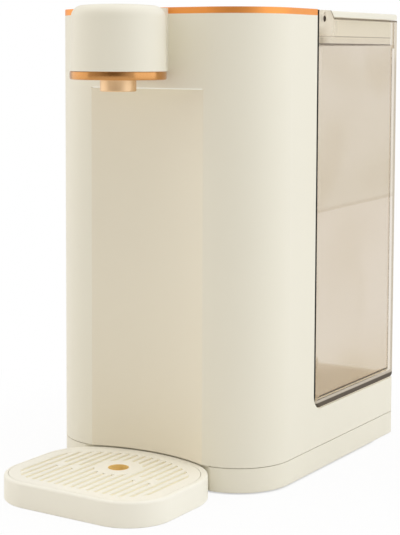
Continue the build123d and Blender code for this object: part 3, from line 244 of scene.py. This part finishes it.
# %% Cream moulding
cream = linear(239, 234, 217)
deepest, palest = 0.965, 1.02  # the ends of the drift, as shares of the colour
drift_scale, grain_scale, grain_depth = 9.0, 2600.0, 0.00003
shell_roughness, tray_roughness, cover_roughness = 0.42, 0.4, 0.38


def cream_moulding(name, colour, roughness):
    """Satin plastic of one colour, with its drift and grain."""
    finish = Finish(name, IOR=1.5)
    drift = finish.noise(drift_scale, detail=3.0)
    grain = finish.noise(grain_scale, detail=1.0)
    deeper, lighter = [tuple(min(1, c * share) for c in colour[:3]) + (1,) for share in (deepest, palest)]
    finish.shade(
        Base_Color=finish.mix(drift, deeper, lighter),
        Roughness=roughness - 0.05 + 0.1 * drift,
        Normal=finish.bump(grain, grain_depth, 0.35),
    )
    return finish


cream_moulding("satin_cream", cream, shell_roughness).paint(
    "rear_skirts", "rear_panel", "base_tray", "tank_bay_liner", "spout_housing", "spout_bottom_plate")
cream_moulding("satin_cream_cover", cream, cover_roughness).paint("top_cover")
print("cream:", [round(c, 3) for c in cream])

# %% [markdown]
# ## Cup bay
# The curved panel of the cup bay is the same plastic in a slightly warmer shade. That warmth is painted
# light: the warm light that bounces into the bay from the tray. The edge of the housing over it catches the
# light as a thin bright line. The edge could be rounded in the mesh, but such a rounding is smaller than a
# pixel, so the line is a painted highlight: a paler colour along the bay's ceiling.

# %% Cup bay
# painted light: the bay's warmer shade stands for the warm light bounced into it
cream_moulding("satin_cream_bay", linear(240, 232, 212), shell_roughness).paint("bay_panel")
bay_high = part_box("bay_panel")[1]
front_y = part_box("front_housing")[0][1]
line_inset = 0.001
housing = cream_moulding("satin_cream_housing", cream, shell_roughness)
from_ceiling = abs(housing.height("Z") - bay_high[2])
from_front_edge = housing.past(0.0, front_y, bay_high[0] - line_inset, line_inset)
# painted highlight: a paler line along the front edge of the bay's ceiling
painted_edge_highlight = housing.below(from_ceiling, 0.0005, 0.0011) * housing.below(from_front_edge, 0.0, 0.0005)
housing.shade(Base_Color=housing.mix(painted_edge_highlight, housing.own_colour(), linear(255, 253, 244)))
housing.paint("front_housing")
print("bay's ceiling at", round(bay_high[2], 4), "and housing's front at", round(front_y, 4))

# %% [markdown]
# ## Lid
# The tank's lid is the plastic of the cover. A fine groove runs round its skirt, just above the seal. It
# is less than a millimetre wide, so the shade in it is painted as a darker line in the colour, and the
# groove is not cut in the mesh.

# %% Lid
seal_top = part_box("lid_seal")[1][2]
lid = cream_moulding("satin_cream_lid", cream, cover_roughness)
# painted shade: the dark line of the shadow in the groove
groove_shade = lid.between(lid.height("Z") - seal_top, 0.0006, 0.0009, 0.0012, 0.0015)
lid.shade(Base_Color=lid.mix(groove_shade, lid.own_colour(), linear(176, 164, 146)))
lid.paint("tank_lid")
print("groove over", round(seal_top, 4))

# %% [markdown]
# ## Tray and grille
# The tray and its grille are a paler cream than the shell, and that paleness is painted light, for the
# light from above on the tray's top. Light that falls into the slots and the drain hole bounces between
# warm walls and comes out yellower. It could be left to the bounces, but the slots are too small for that
# to
# show, so that bounced light is painted: the plastic is warm in the slots and in the well below them, and
# amber in the drain hole under the nozzle.

# %% Tray and grille
nozzle_low, nozzle_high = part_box("outlet_nozzle")
spout_y = (nozzle_low[1] + nozzle_high[1]) / 2
grille_low, grille_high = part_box("tray_grille")
grille_corner = 0.022
grille_y = (grille_low[1] + grille_high[1]) / 2
grille_half_x = grille_high[0] - grille_corner
grille_half_y = (grille_high[1] - grille_low[1]) / 2 - grille_corner
drain_radius = 0.0062


def tray_cream(name, warm_below, widening):
    """Pale cream, painted paler for the light from above, with painted warm bounce light below a height
    within the grille's outline widened by a distance, and painted amber bounce light in the drain hole.
    """
    # paler than the shell: painted light, for the light from above on the tray's top
    finish = cream_moulding(name, linear(249, 245, 231), tray_roughness)
    from_middle = finish.past(0.0, grille_y, grille_half_x, grille_half_y)
    outline = grille_corner + widening
    # painted bounce light: warm in the slots and in the well below them
    painted_slot_bounce = finish.below(finish.height("Z"), warm_below - 0.0008, warm_below - 0.0002) * finish.below(
        from_middle, outline, outline + 0.0005)
    from_drain = finish.length(finish.height("X"), finish.height("Y") - spout_y)
    # painted bounce light: amber in the drain hole
    painted_drain_bounce = finish.below(from_drain, drain_radius, drain_radius + 0.0004)
    warm = finish.mix(painted_slot_bounce, finish.own_colour(), linear(255, 247, 220))
    finish.shade(Base_Color=finish.mix(painted_drain_bounce, warm, linear(255, 224, 148)))
    return finish


whole_grille, inside_well = 0.03, -0.006
tray_cream("satin_cream_grille", grille_high[2], whole_grille).paint("tray_grille")
tray_cream("satin_cream_tray", grille_low[2] + 0.0008, inside_well).paint("drip_tray")
print("cream on", [n for n, o in nodes.items()
                   if o.material_slots and "cream" in o.material_slots[0].material.name])

# %% [markdown]
# ## Copper trim
# The band round the top and the nozzle are satin copper, and the ring under the head is polished. All
# have the faint turned lines that polishing on a spindle leaves. Metal is all reflection: its colour only
# tints what it mirrors, and its roughness says how sharply. The lines are noise stretched along the
# surface, so that they run level round the ring.

# %% Copper trim
def copper(name, roughness, dark, light):
    """Copper between two colours, with level polishing lines and a few smudges."""
    finish = Finish(name, Metallic=1.0)
    lines = finish.noise(6.0, detail=4.0, stretch=(1.0, 1.0, 400.0))
    smudge = finish.noise(60.0, detail=3.0)
    finish.shade(
        Base_Color=finish.mix(smudge, linear(*dark), linear(*light)),
        Roughness=roughness + 0.06 * lines + 0.04 * smudge,
        Normal=finish.bump(lines, 0.00002, 0.2),
    )
    return finish


copper("band_copper", roughness=0.4, dark=(246, 158, 80), light=(248, 170, 96)).paint("top_trim_band")
copper("pale_copper", roughness=0.34, dark=(232, 194, 150), light=(242, 208, 168)).paint("outlet_nozzle")
ring_copper = copper("ring_copper", roughness=0.13, dark=(200, 142, 84), light=(216, 160, 102))
print("copper on top_trim_band and outlet_nozzle")

# %% [markdown]
# ## Polished ring
# The ring is the most polished piece, and a polished face shows every flat of a coarse mesh as a step in
# what it mirrors. It is turned again here with 240 steps, a slightly rolled face and small broken edges,
# and stands for the CAD ring. Its back is flat where it meets the housing, as the CAD ring's is.

# %% Polished ring
def make_mesh(name, build):
    """A new object from a function that fills a bmesh."""
    mesh = bpy.data.meshes.new(name)
    work = bmesh.new()
    build(work)
    work.to_mesh(mesh)
    work.free()
    made = bpy.data.objects.new(name, mesh)
    bpy.context.scene.collection.objects.link(made)
    return made


def join_rounds(work, first_round, second_round):
    """Four-sided faces between two closed rounds of points."""
    for k in range(len(first_round)):
        after = (k + 1) % len(first_round)
        work.faces.new((first_round[k], first_round[after], second_round[after], second_round[k]))


def turned(section, axis_x, axis_y, back_y, steps=240):
    """Fills a bmesh with a closed section of (radius, z) points turned upright, flat at back_y."""
    def build(work):
        turns = [2 * math.pi * k / steps for k in range(steps)]
        rounds = [[work.verts.new((axis_x + radius * math.cos(a),
                                   min(axis_y + radius * math.sin(a), back_y), z)) for a in turns]
                  for radius, z in section]
        for low_round, high_round in zip(rounds, rounds[1:] + rounds[:1]):
            join_rounds(work, low_round, high_round)
        bmesh.ops.recalc_face_normals(work, faces=work.faces)
        for face in work.faces:
            face.smooth = True
    return build


ring_low, ring_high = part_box("spout_trim_ring")
ring_radius, ring_height = ring_high[0], ring_high[2] - ring_low[2]
ring_wall, broken, rolled = 0.0023, 0.0004, 0.00012
ring_inside = ring_radius - ring_wall
edge_radius = ring_radius - rolled - broken
face_height = ring_height - 2 * broken
shares_up = (0.0, 0.12, 0.25, 0.4, 0.5, 0.6, 0.75, 0.88, 1.0)
rolled_face = [(ring_radius - rolled * (2 * share - 1) ** 2, ring_low[2] + broken + share * face_height)
               for share in shares_up]
section = [(ring_inside, ring_low[2]), (edge_radius, ring_low[2])] + rolled_face + [
    (edge_radius, ring_high[2]), (ring_inside, ring_high[2])]
ring = make_mesh("polished_ring", turned(section, 0.0, spout_y, ring_high[1]))
ring.data.set_sharp_from_angle(angle=math.radians(30))
ring.data.materials.append(ring_copper.material)
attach(ring, "body")
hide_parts("spout_trim_ring")
print("ring radius", round(ring_radius, 5), "and height", round(ring_height, 5))

# %% [markdown]
# ## Smoky tank
# The tank is moulded in clear brown plastic. Two walls of it stand between the eye and the white wall
# behind, so each tints the light a little. Plain glass of one tint would look too clean: the real tank is
# a little cloudy and darker at its rear corner. It is also darker at its foot, which is painted shade, and
# lighter in the collar under the lid, which is painted light that lifts the shade on the lid's skirt behind
# it. A faint slanted line hints at its water, with a greyer zone of painted shade above it. Each of these
# is a share from 0 to 1 that lays one more tint over the last.

# %% Tank's tint
tank_low, tank_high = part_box("water_tank")
side_x, front_wall, rear_wall = tank_high[0], tank_low[1], tank_high[1]
foot_z, top_rim = tank_low[2], tank_high[2]
smoky = Finish("smoky_tank", **{"Transmission Weight": 1.0, "IOR": 1.25})
up, back, aside = smoky.height("Z"), smoky.height("Y"), abs(smoky.height("X"))
outside = smoky.step(aside, side_x - 0.0018, side_x - 0.001)
water_line, slant = 0.1645, 0.017
tank_y = (front_wall + rear_wall) / 2
over_water = up - (slant * back + (water_line - slant * tank_y))
water_edge = smoky.between(over_water, 0.0, 0.0012, 0.0012, 0.004)
# painted shade: the greyer zone over the water's line
shade_over_water = smoky.step(over_water, 0.0, 0.001) * smoky.step(over_water, 0.03, 0.13, 1.0, 0.35)
murk = smoky.step(smoky.noise(15.0, detail=1.0), 0.42, 0.72)
# painted light: the collar is lighter, to lift the shade on the lid's skirt behind it
collar = smoky.step(up, seal_top - 0.0038, seal_top - 0.0034)
# painted shade: darker towards the tank's foot
foot = smoky.below(up, foot_z + 0.006, foot_z + 0.05)
rear_corner = smoky.step(back, rear_wall - 0.0055, rear_wall - 0.004) * smoky.step(
    aside, side_x - 0.006, side_x - 0.004)
layers = [
    (shade_over_water * outside, linear(230, 224, 211)),
    (0.5 * murk, linear(224, 214, 196)),
    (collar, linear(250, 247, 241)),
    (0.5 * water_edge * outside, linear(196, 180, 158)),
    (foot * outside, linear(232, 221, 202)),
    (rear_corner, linear(206, 194, 175)),
]
tint = linear(238, 231.5, 222)
for share, colour in layers:
    tint = smoky.mix(share, tint, colour)
smoky.shade(Base_Color=tint, Roughness=0.05 + 0.04 * smoky.noise(14.0, detail=2.0))
print("tank from", [round(x, 4) for x in tank_low], "to", [round(x, 4) for x in tank_high])

# %% [markdown]
# Seen from the side, the floor, the front and rear walls, the rim and the hinge ears are plastic seen
# edge on, many times as thick as the wall. There a clear shader shows bright and dark flecks, where the
# real plastic is a calm dark line. So the outer face has an opaque shader along these edges, coloured
# by place: brown at the floor and pale on the ears. At the front wall it is nearly black and along the rim
# dark brown, and these are painted shadow, of the gap beside the housing and of the gap under the lid.

# %% Tank's thick edges
rim_z = 0.2847  # the rim behind the ears, which stand higher
ear_end, slope_end = front_wall + 0.0166, front_wall + 0.0208
floor_edge = smoky.below(up, foot_z + 0.0052, foot_z + 0.006)
# painted shadow of the gap between the tank's front wall and the housing
front_gap_shadow = smoky.below(back, front_wall + 0.001, front_wall + 0.0014)
rear_edge = smoky.step(back, rear_wall - 0.005, rear_wall - 0.0042, 0.0, 0.6)
top_here = smoky.node("MapRange", {"clamp": True}, {
    "Value": back, "From Min": ear_end, "From Max": slope_end, "To Min": top_rim, "To Max": rim_z})
# painted shadow of the gap between the tank's rim and the lid
rim_gap_shadow = smoky.below(top_here - up, 0.0003, 0.0008, 0.8) * smoky.step(
    back, ear_end - 0.0006, ear_end - 0.0002)
ear = smoky.below(back, slope_end - 0.005, slope_end + 0.006, 0.7) * smoky.step(
    up, rim_z - 0.018, rim_z - 0.003)
edge = floor_edge.largest(front_gap_shadow, rear_edge, rim_gap_shadow, ear) * outside

floor_colour = smoky.mix(
    smoky.step(up, foot_z + 0.0034, foot_z + 0.004), linear(88, 78, 65), linear(196, 185, 168))
# the rim's dark brown is painted shadow of the gap under the lid
ear_and_rim_shadow_colour = smoky.mix(smoky.step(rim_gap_shadow, 0.0, 0.8), linear(230, 219, 199), linear(112, 98, 80))
side_colour = smoky.mix(smoky.step(up, rim_z - 0.03, rim_z - 0.02), floor_colour, ear_and_rim_shadow_colour)
thick_edge_and_gap_shadow = smoky.node("BsdfPrincipled", {}, {
    # nearly black at the front wall: painted shadow of the gap beside the housing
    "Base Color": smoky.mix(front_gap_shadow, side_colour, linear(22, 18, 13)),
    "Roughness": 0.6, "Specular IOR Level": 0.25})
print("rim at", rim_z, "and ears back to", round(ear_end, 4))

# %% [markdown]
# A clear shader casts a shadow as dark as a solid one, because light can't be aimed through it. For the
# rays that carry shadow and soft light, the tank is therefore a thin tint that lets almost all through.

# %% Tank's shader
walls_and_edges = smoky.node("MixShader", {}, {0: edge, 1: smoky.shader, 2: thick_edge_and_gap_shadow})
light_ray = smoky.node("LightPath", out="Is Shadow Ray").largest(
    smoky.node("LightPath", out="Is Diffuse Ray"))
thin_tint = smoky.node("BsdfTransparent", {}, {"Color": linear(250, 247, 243)})
smoky.surface(smoky.node("MixShader", {}, {0: light_ray, 1: walls_and_edges, 2: thin_tint}))
smoky.paint("water_tank")
print("tank's material has", len(smoky.tree.nodes), "nodes")

# %% [markdown]
# ## Touch panel
# The panel is glass painted on its back, flush with the cover, so it takes the cover's colour but shines
# more. The coat stands for the glass over the paint. The mark over each touch pad, a ring with a dot, and
# the dark display window behind them are printed on the glass, so they are colour and not geometry. The
# pads stand in a row of four, and two folds of the distance from the middle bring them all to one.

# %% Touch panel
panel = Finish("painted_glass", **{
    "Roughness": 0.3, "Coat Weight": 1.0, "Coat Roughness": 0.04, "IOR": 1.5})
painted = panel.mix(panel.noise(30.0, detail=2.0), linear(232, 226, 208), linear(236, 230, 213))
pads_low, pads_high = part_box("touch_pads")
pads_y = (pads_low[1] + pads_high[1]) / 2
pad_pitch = 0.018
mark_inner, mark_outer, dot_radius = 0.0048, 0.0052, 0.001
window_y, window_half_x, window_half_y, window_corner = pads_y + 0.0165, 0.017, 0.003, 0.0024
blur = 0.0002  # the soft border of each printed mark
folded = abs(abs(panel.height("X")) - pad_pitch) - pad_pitch / 2
from_pad = panel.length(folded, panel.height("Y") - pads_y)
ring_mark = panel.between(from_pad, mark_inner - blur, mark_inner, mark_outer, mark_outer + blur)
dot_mark = panel.below(from_pad, dot_radius, dot_radius + blur)
marked = panel.mix(ring_mark.largest(dot_mark), painted, linear(150, 132, 108))
past_window = panel.past(0.0, window_y, window_half_x, window_half_y)
window = panel.below(past_window, window_corner, window_corner + blur)
panel.shade(Base_Color=panel.mix(window, marked, linear(62, 54, 46)))
panel.paint("control_panel")
print("marks over the pads at y", round(pads_y, 4))

# %% [markdown]
# ## Rubber, silicone, mouldings and boards
# These hardly show, but each is a real material: soft matte rubber with a dusty sheen, milky silicone,
# uncoloured mouldings, and circuit boards with a woven glass core under their green mask. One function
# makes them all, because each is two close colours in soft patches with a fine grain. The lid's seal is
# darker in its lower part, where it lies in the shade of the tank's rim.

# %% Soft and inner finishes
def matte(name, dark, light, roughness, grain=900.0, **plain):
    """A dull finish between two colours, with a fine grain."""
    finish = Finish(name, **plain)
    patches = finish.noise(40.0, detail=3.0)
    finish.shade(
        Base_Color=finish.mix(patches, linear(*dark), linear(*light)),
        Roughness=roughness - 0.05 + 0.1 * patches,
        Normal=finish.bump(finish.noise(grain, detail=2.0), 0.00004, 0.4),
    )
    return finish


matte("black_rubber", (44, 42, 40), (58, 56, 53), 0.78, **{"Sheen Weight": 0.15}).paint(
    "rubber_feet", "cord_gland")
matte("seal_silicone", (226, 220, 206), (236, 230, 217), 0.55).paint("socket_seal")
matte("hose_silicone", (222, 220, 212), (234, 232, 225), 0.45,
      **{"Subsurface Weight": 0.1, "Subsurface Scale": 0.002}).paint(
    "hose_tank_to_pump", "hose_pump_to_heater", "hose_heater_to_spout")
matte("natural_moulding", (214, 213, 207), (226, 225, 220), 0.5).paint(
    "heater_end_caps", "thermal_cutouts", "outlet_chamber", "pump_head", "pump_cradle", "valve_socket",
    "tank_valve_body", "valve_poppet", "tank_filter", "nozzle_insert", "gland_nut")
matte("green_board", (22, 78, 48), (30, 96, 60), 0.4, grain=1600.0,
      **{"Coat Weight": 0.4, "Coat Roughness": 0.2}).paint("control_board", "power_board")
lid_seal = matte("lid_silicone", (226, 220, 205), (236, 230, 216), 0.6)
shaded_part = lid_seal.below(lid_seal.height("Z"), seal_top - 0.0034, seal_top - 0.003)
lid_seal.shade(Base_Color=lid_seal.mix(shaded_part, lid_seal.own_colour(), linear(128, 116, 100)))
lid_seal.paint("lid_seal")
print("soft and inner finishes made")

# %% [markdown]
# ## Steel and plated metal
# The heater, the motor, the screws and the pins are metal with fine drawn lines. The lines are noise
# stretched one way, so they lie level on the heater and the motor, and upright on the screws and pins.

# %% Steel and plated metal
def brushed(name, dark, light, roughness, stretch):
    """Metal between two colours, with lines as the stretch draws them."""
    finish = Finish(name, Metallic=1.0)
    lines = finish.noise(20.0, detail=5.0, stretch=stretch)
    finish.shade(
        Base_Color=finish.mix(lines, linear(*dark), linear(*light)),
        Roughness=roughness + 0.15 * lines,
        Normal=finish.bump(lines, 0.00003, 0.25),
    )
    return finish


level_lines, upright_lines = (1.0, 1.0, 40.0), (30.0, 30.0, 1.0)
brushed("brushed_steel", (176, 176, 178), (206, 206, 208), 0.28, level_lines).paint(
    "heater_tube", "heater_clamps", "pump_motor", "pump_rotor", "temperature_probe")
plated = brushed("plated_steel", (186, 184, 178), (214, 212, 208), 0.22, upright_lines)
plated.paint("base_screws", "liner_screws", "spout_screws")
brushed("dark_pins", (58, 46, 36), (82, 66, 52), 0.35, upright_lines).paint("lid_hinge_pins")
brushed("plated_pads", (200, 160, 84), (226, 188, 110), 0.3, (30.0, 1.0, 1.0)).paint("touch_pads")
unpainted = [n for n, o in nodes.items() if not (o.material_slots and o.material_slots[0].link == "OBJECT")]
print("without a finish:", unpainted)

# %% [markdown]
# ## Valve spring
# The spring in the tank's valve leans on a hub and gets shorter when the poppet is pushed up, which a
# rigid CAD node can't do. So it is wound again here as round wire on a helix, in a mesh of its own, and the
# length that the poppet travels is read, to print how short the pressed spring is.

# %% Valve spring
spring_low, spring_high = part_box("valve_spring")
spring_length = spring_high[2] - spring_low[2]
wire_r, turns, sides, per_turn = 0.00035, 4, 8, 32
coil_r = (spring_high[0] - spring_low[0]) / 2 - wire_r
coil_y = (spring_high[1] + spring_low[1]) / 2
coil_rise = spring_length - 2 * wire_r
travel = next(j for j in frame["joints"] if j["name"] == "valve_poppet_slide")["range_m"][1]


def wind(work):
    """Fills a bmesh with round wire along a helix, closed at both ends."""
    rounds = []
    upright = Vector((0.0, 0.0, 1.0))
    for k in range(turns * per_turn + 1):
        turn = 2 * math.pi * k / per_turn
        out = Vector((math.cos(turn), math.sin(turn), 0.0))
        rise = wire_r + coil_rise * k / (turns * per_turn)
        middle = Vector((0.0, coil_y, spring_low[2] + rise)) + coil_r * out
        rounds.append([work.verts.new(middle + wire_r * (math.cos(a) * out + math.sin(a) * upright))
                       for a in (2 * math.pi * n / sides for n in range(sides))])
    for low_round, high_round in zip(rounds, rounds[1:]):
        join_rounds(work, low_round, high_round)
    work.faces.new(rounds[0])
    work.faces.new(rounds[-1])
    bmesh.ops.recalc_face_normals(work, faces=work.faces)
    for face in work.faces:
        face.smooth = len(face.verts) == 4


spring = make_mesh("wound_spring", wind)
spring.data.materials.append(plated.material)
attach(spring, "tank")
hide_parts("valve_spring")
1 - travel / spring_length
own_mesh(spring)
print("spring length at rest", round(spring_length, 5), "and pressed", round(spring_length - travel, 5))

# %% [markdown]
# ## Floor
# The photograph has a pure white background. The floor is plain white paper. To the camera it glows as
# white as the wall behind, but it keeps a share of its own shading near the object, and a larger one
# under the body, so that the shadow stays.

# %% Floor
floor = make_mesh("studio_floor",
                  lambda work: bmesh.ops.create_grid(work, x_segments=1, y_segments=1, size=6))
floor.location.z = -0.0001  # just under the tray, which lies on z = 0
paper = Finish("white_paper", Roughness=0.9)
paper.shade(Base_Color=linear(240, 239, 236))
base_low, base_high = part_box("base_tray")
base_corner = 0.0365
base_y, base_half_y = (base_high[1] + base_low[1]) / 2, (base_high[1] - base_low[1]) / 2
from_body = paper.past(0.0, base_y, base_high[0] - base_corner, base_half_y - base_corner)
outside_body = paper.step(from_body, base_corner - 0.001, base_corner + 0.0005, 0.6, 1.0)
from_middle = paper.node("VectorMath", {"operation": "LENGTH"}, {0: paper.place()}, out="Value")
white_share = paper.step(from_middle, 0.12, 0.3, 0.92, 1.0) * outside_body
glow = paper.node("Emission", {}, {"Color": (1, 1, 1, 1), "Strength": 1.0})
share_of_glow = paper.seen_straight() * white_share
paper.surface(paper.node("MixShader", {}, {0: share_of_glow, 1: paper.shader, 2: glow}))
floor.data.materials.append(paper.material)
print("floor laid at z =", round(floor.location.z, 4))

# %% [markdown]
# ## World
# The wall behind is the world. It is white only where the camera looks at it, straight or through the
# clear tank, so no extra light falls on the object. For all other rays it is the room: an even grey that
# is warm and darker in front, and is brighter and a little cooler at the right, as the light in the
# photograph is. Plain panels could do this, but they would show as edges in the polished ring.

# %% World
world = bpy.data.worlds.new("studio")
bpy.context.scene.world = world
world.use_nodes = True
sky = Finish("studio_world", tree=world.node_tree)
direction = sky.node("TexCoord", out="Generated")


def toward(x, y, z, low, high=0.95):
    """0 to 1 as a direction turns towards the direction x, y, z."""
    along = sky.node("VectorMath", {"operation": "DOT_PRODUCT"}, {0: direction, 1: (x, y, z)}, out="Value")
    return sky.step(along, low, high)


room = sky.mix(toward(0.0, -1.0, 0.0, 0.3), (0.437, 0.434, 0.43, 1), (0.193, 0.16, 0.11, 1))
brighter_sides = {
    "right": ((0.88, 0.47, 0.0), 0.0, (0.395, 0.419, 0.46, 1)),
    "left": ((-0.9, -0.43, 0.0), 0.0, (0.422, 0.412, 0.4, 1)),
    "behind": ((0.0, 1.0, 0.0), 0.3, (0.093, 0.1, 0.118, 1)),
    "above": ((0.0, 0.0, 1.0), 0.35, (0.47, 0.469, 0.475, 1)),
}
for side_direction, low, tone in brighter_sides.values():
    room = sky.node("Mix", {"data_type": "RGBA", "blend_type": "ADD"},
                    {0: toward(*side_direction, low), 6: room, 7: tone}, out=2)
wall = sky.mix(sky.seen_straight(), room, (1, 1, 1, 1))
background = sky.node("Background", {}, {"Color": wall, "Strength": 1.0})
sky.node("OutputWorld", {}, {"Surface": background})
print("world brighter at the", ", ".join(brighter_sides))

# %% [markdown]
# ## Light
# In the photograph the right side is the brightest and slightly cool, the front is a little darker and
# warmer, and the left edge is lit again from the left. Three large soft lamps and the world give that, at
# a level where a colour comes out about as it is written.

# %% Lamps
lamp_target = Vector((0.0, 0.0, 0.15))


def soft_lamp(name, place, width, height, watts, colour=(1, 1, 1)):
    """A large lamp that faces the middle of the dispenser."""
    lamp = bpy.data.lights.new(name, "AREA")
    lamp.shape = "RECTANGLE"
    lamp.size, lamp.size_y = width, height
    lamp.energy, lamp.color = watts, colour
    made = bpy.data.objects.new(name, lamp)
    made.location = place
    made.rotation_euler = (lamp_target - Vector(place)).to_track_quat("-Z", "Y").to_euler()
    bpy.context.scene.collection.objects.link(made)


soft_lamp("window_right", (1.5, 0.35, 0.7), width=2.0, height=1.6, watts=5.2, colour=(0.94, 0.97, 1.0))
soft_lamp("window_left", (-1.45, -0.55, 0.6), width=2.0, height=1.6, watts=4.7)
soft_lamp("overhead", (0.1, -0.1, 1.5), width=1.6, height=1.6, watts=4.5)
print("lamps:", [lamp.name for lamp in bpy.data.lights])

# %% [markdown]
# ## Camera
# The camera's place and lens were worked out from the photograph: it stands at the front right, a little
# lower than the top, looking slightly down. The turn, tilt and roll are written as angles and made into
# the camera's own three axes. The lens and its shift are measured in pixels of the photograph.

# %% Camera
photo_height, lens_in_pixels, shift_in_pixels = 535, 1433.97, -100
sensor = 36
yaw, pitch, roll = math.radians(32.52), math.radians(4.52), math.radians(0.22)
look = Vector((-math.sin(yaw) * math.cos(pitch), math.cos(yaw) * math.cos(pitch), -math.sin(pitch)))
level_right = Vector((math.cos(yaw), math.sin(yaw), 0.0))
level_up = level_right.cross(look)
right = math.cos(roll) * level_right + math.sin(roll) * level_up
upward = -math.sin(roll) * level_right + math.cos(roll) * level_up
camera = bpy.data.objects.new("camera", bpy.data.cameras.new("camera"))
bpy.context.scene.collection.objects.link(camera)
axes = Matrix((right, upward, -look)).transposed().to_4x4()
camera.matrix_world = Matrix.Translation((0.49395, front_y - 0.71368, 0.26221)) @ axes
camera.data.sensor_width = sensor
camera.data.lens = lens_in_pixels / photo_height * sensor
camera.data.shift_y = shift_in_pixels / photo_height
camera.data.clip_end = 20
bpy.context.scene.camera = camera
bpy.context.scene.view_settings.view_transform = "Standard"
print("camera at", [round(x, 3) for x in camera.matrix_world.translation])

# %% [markdown]
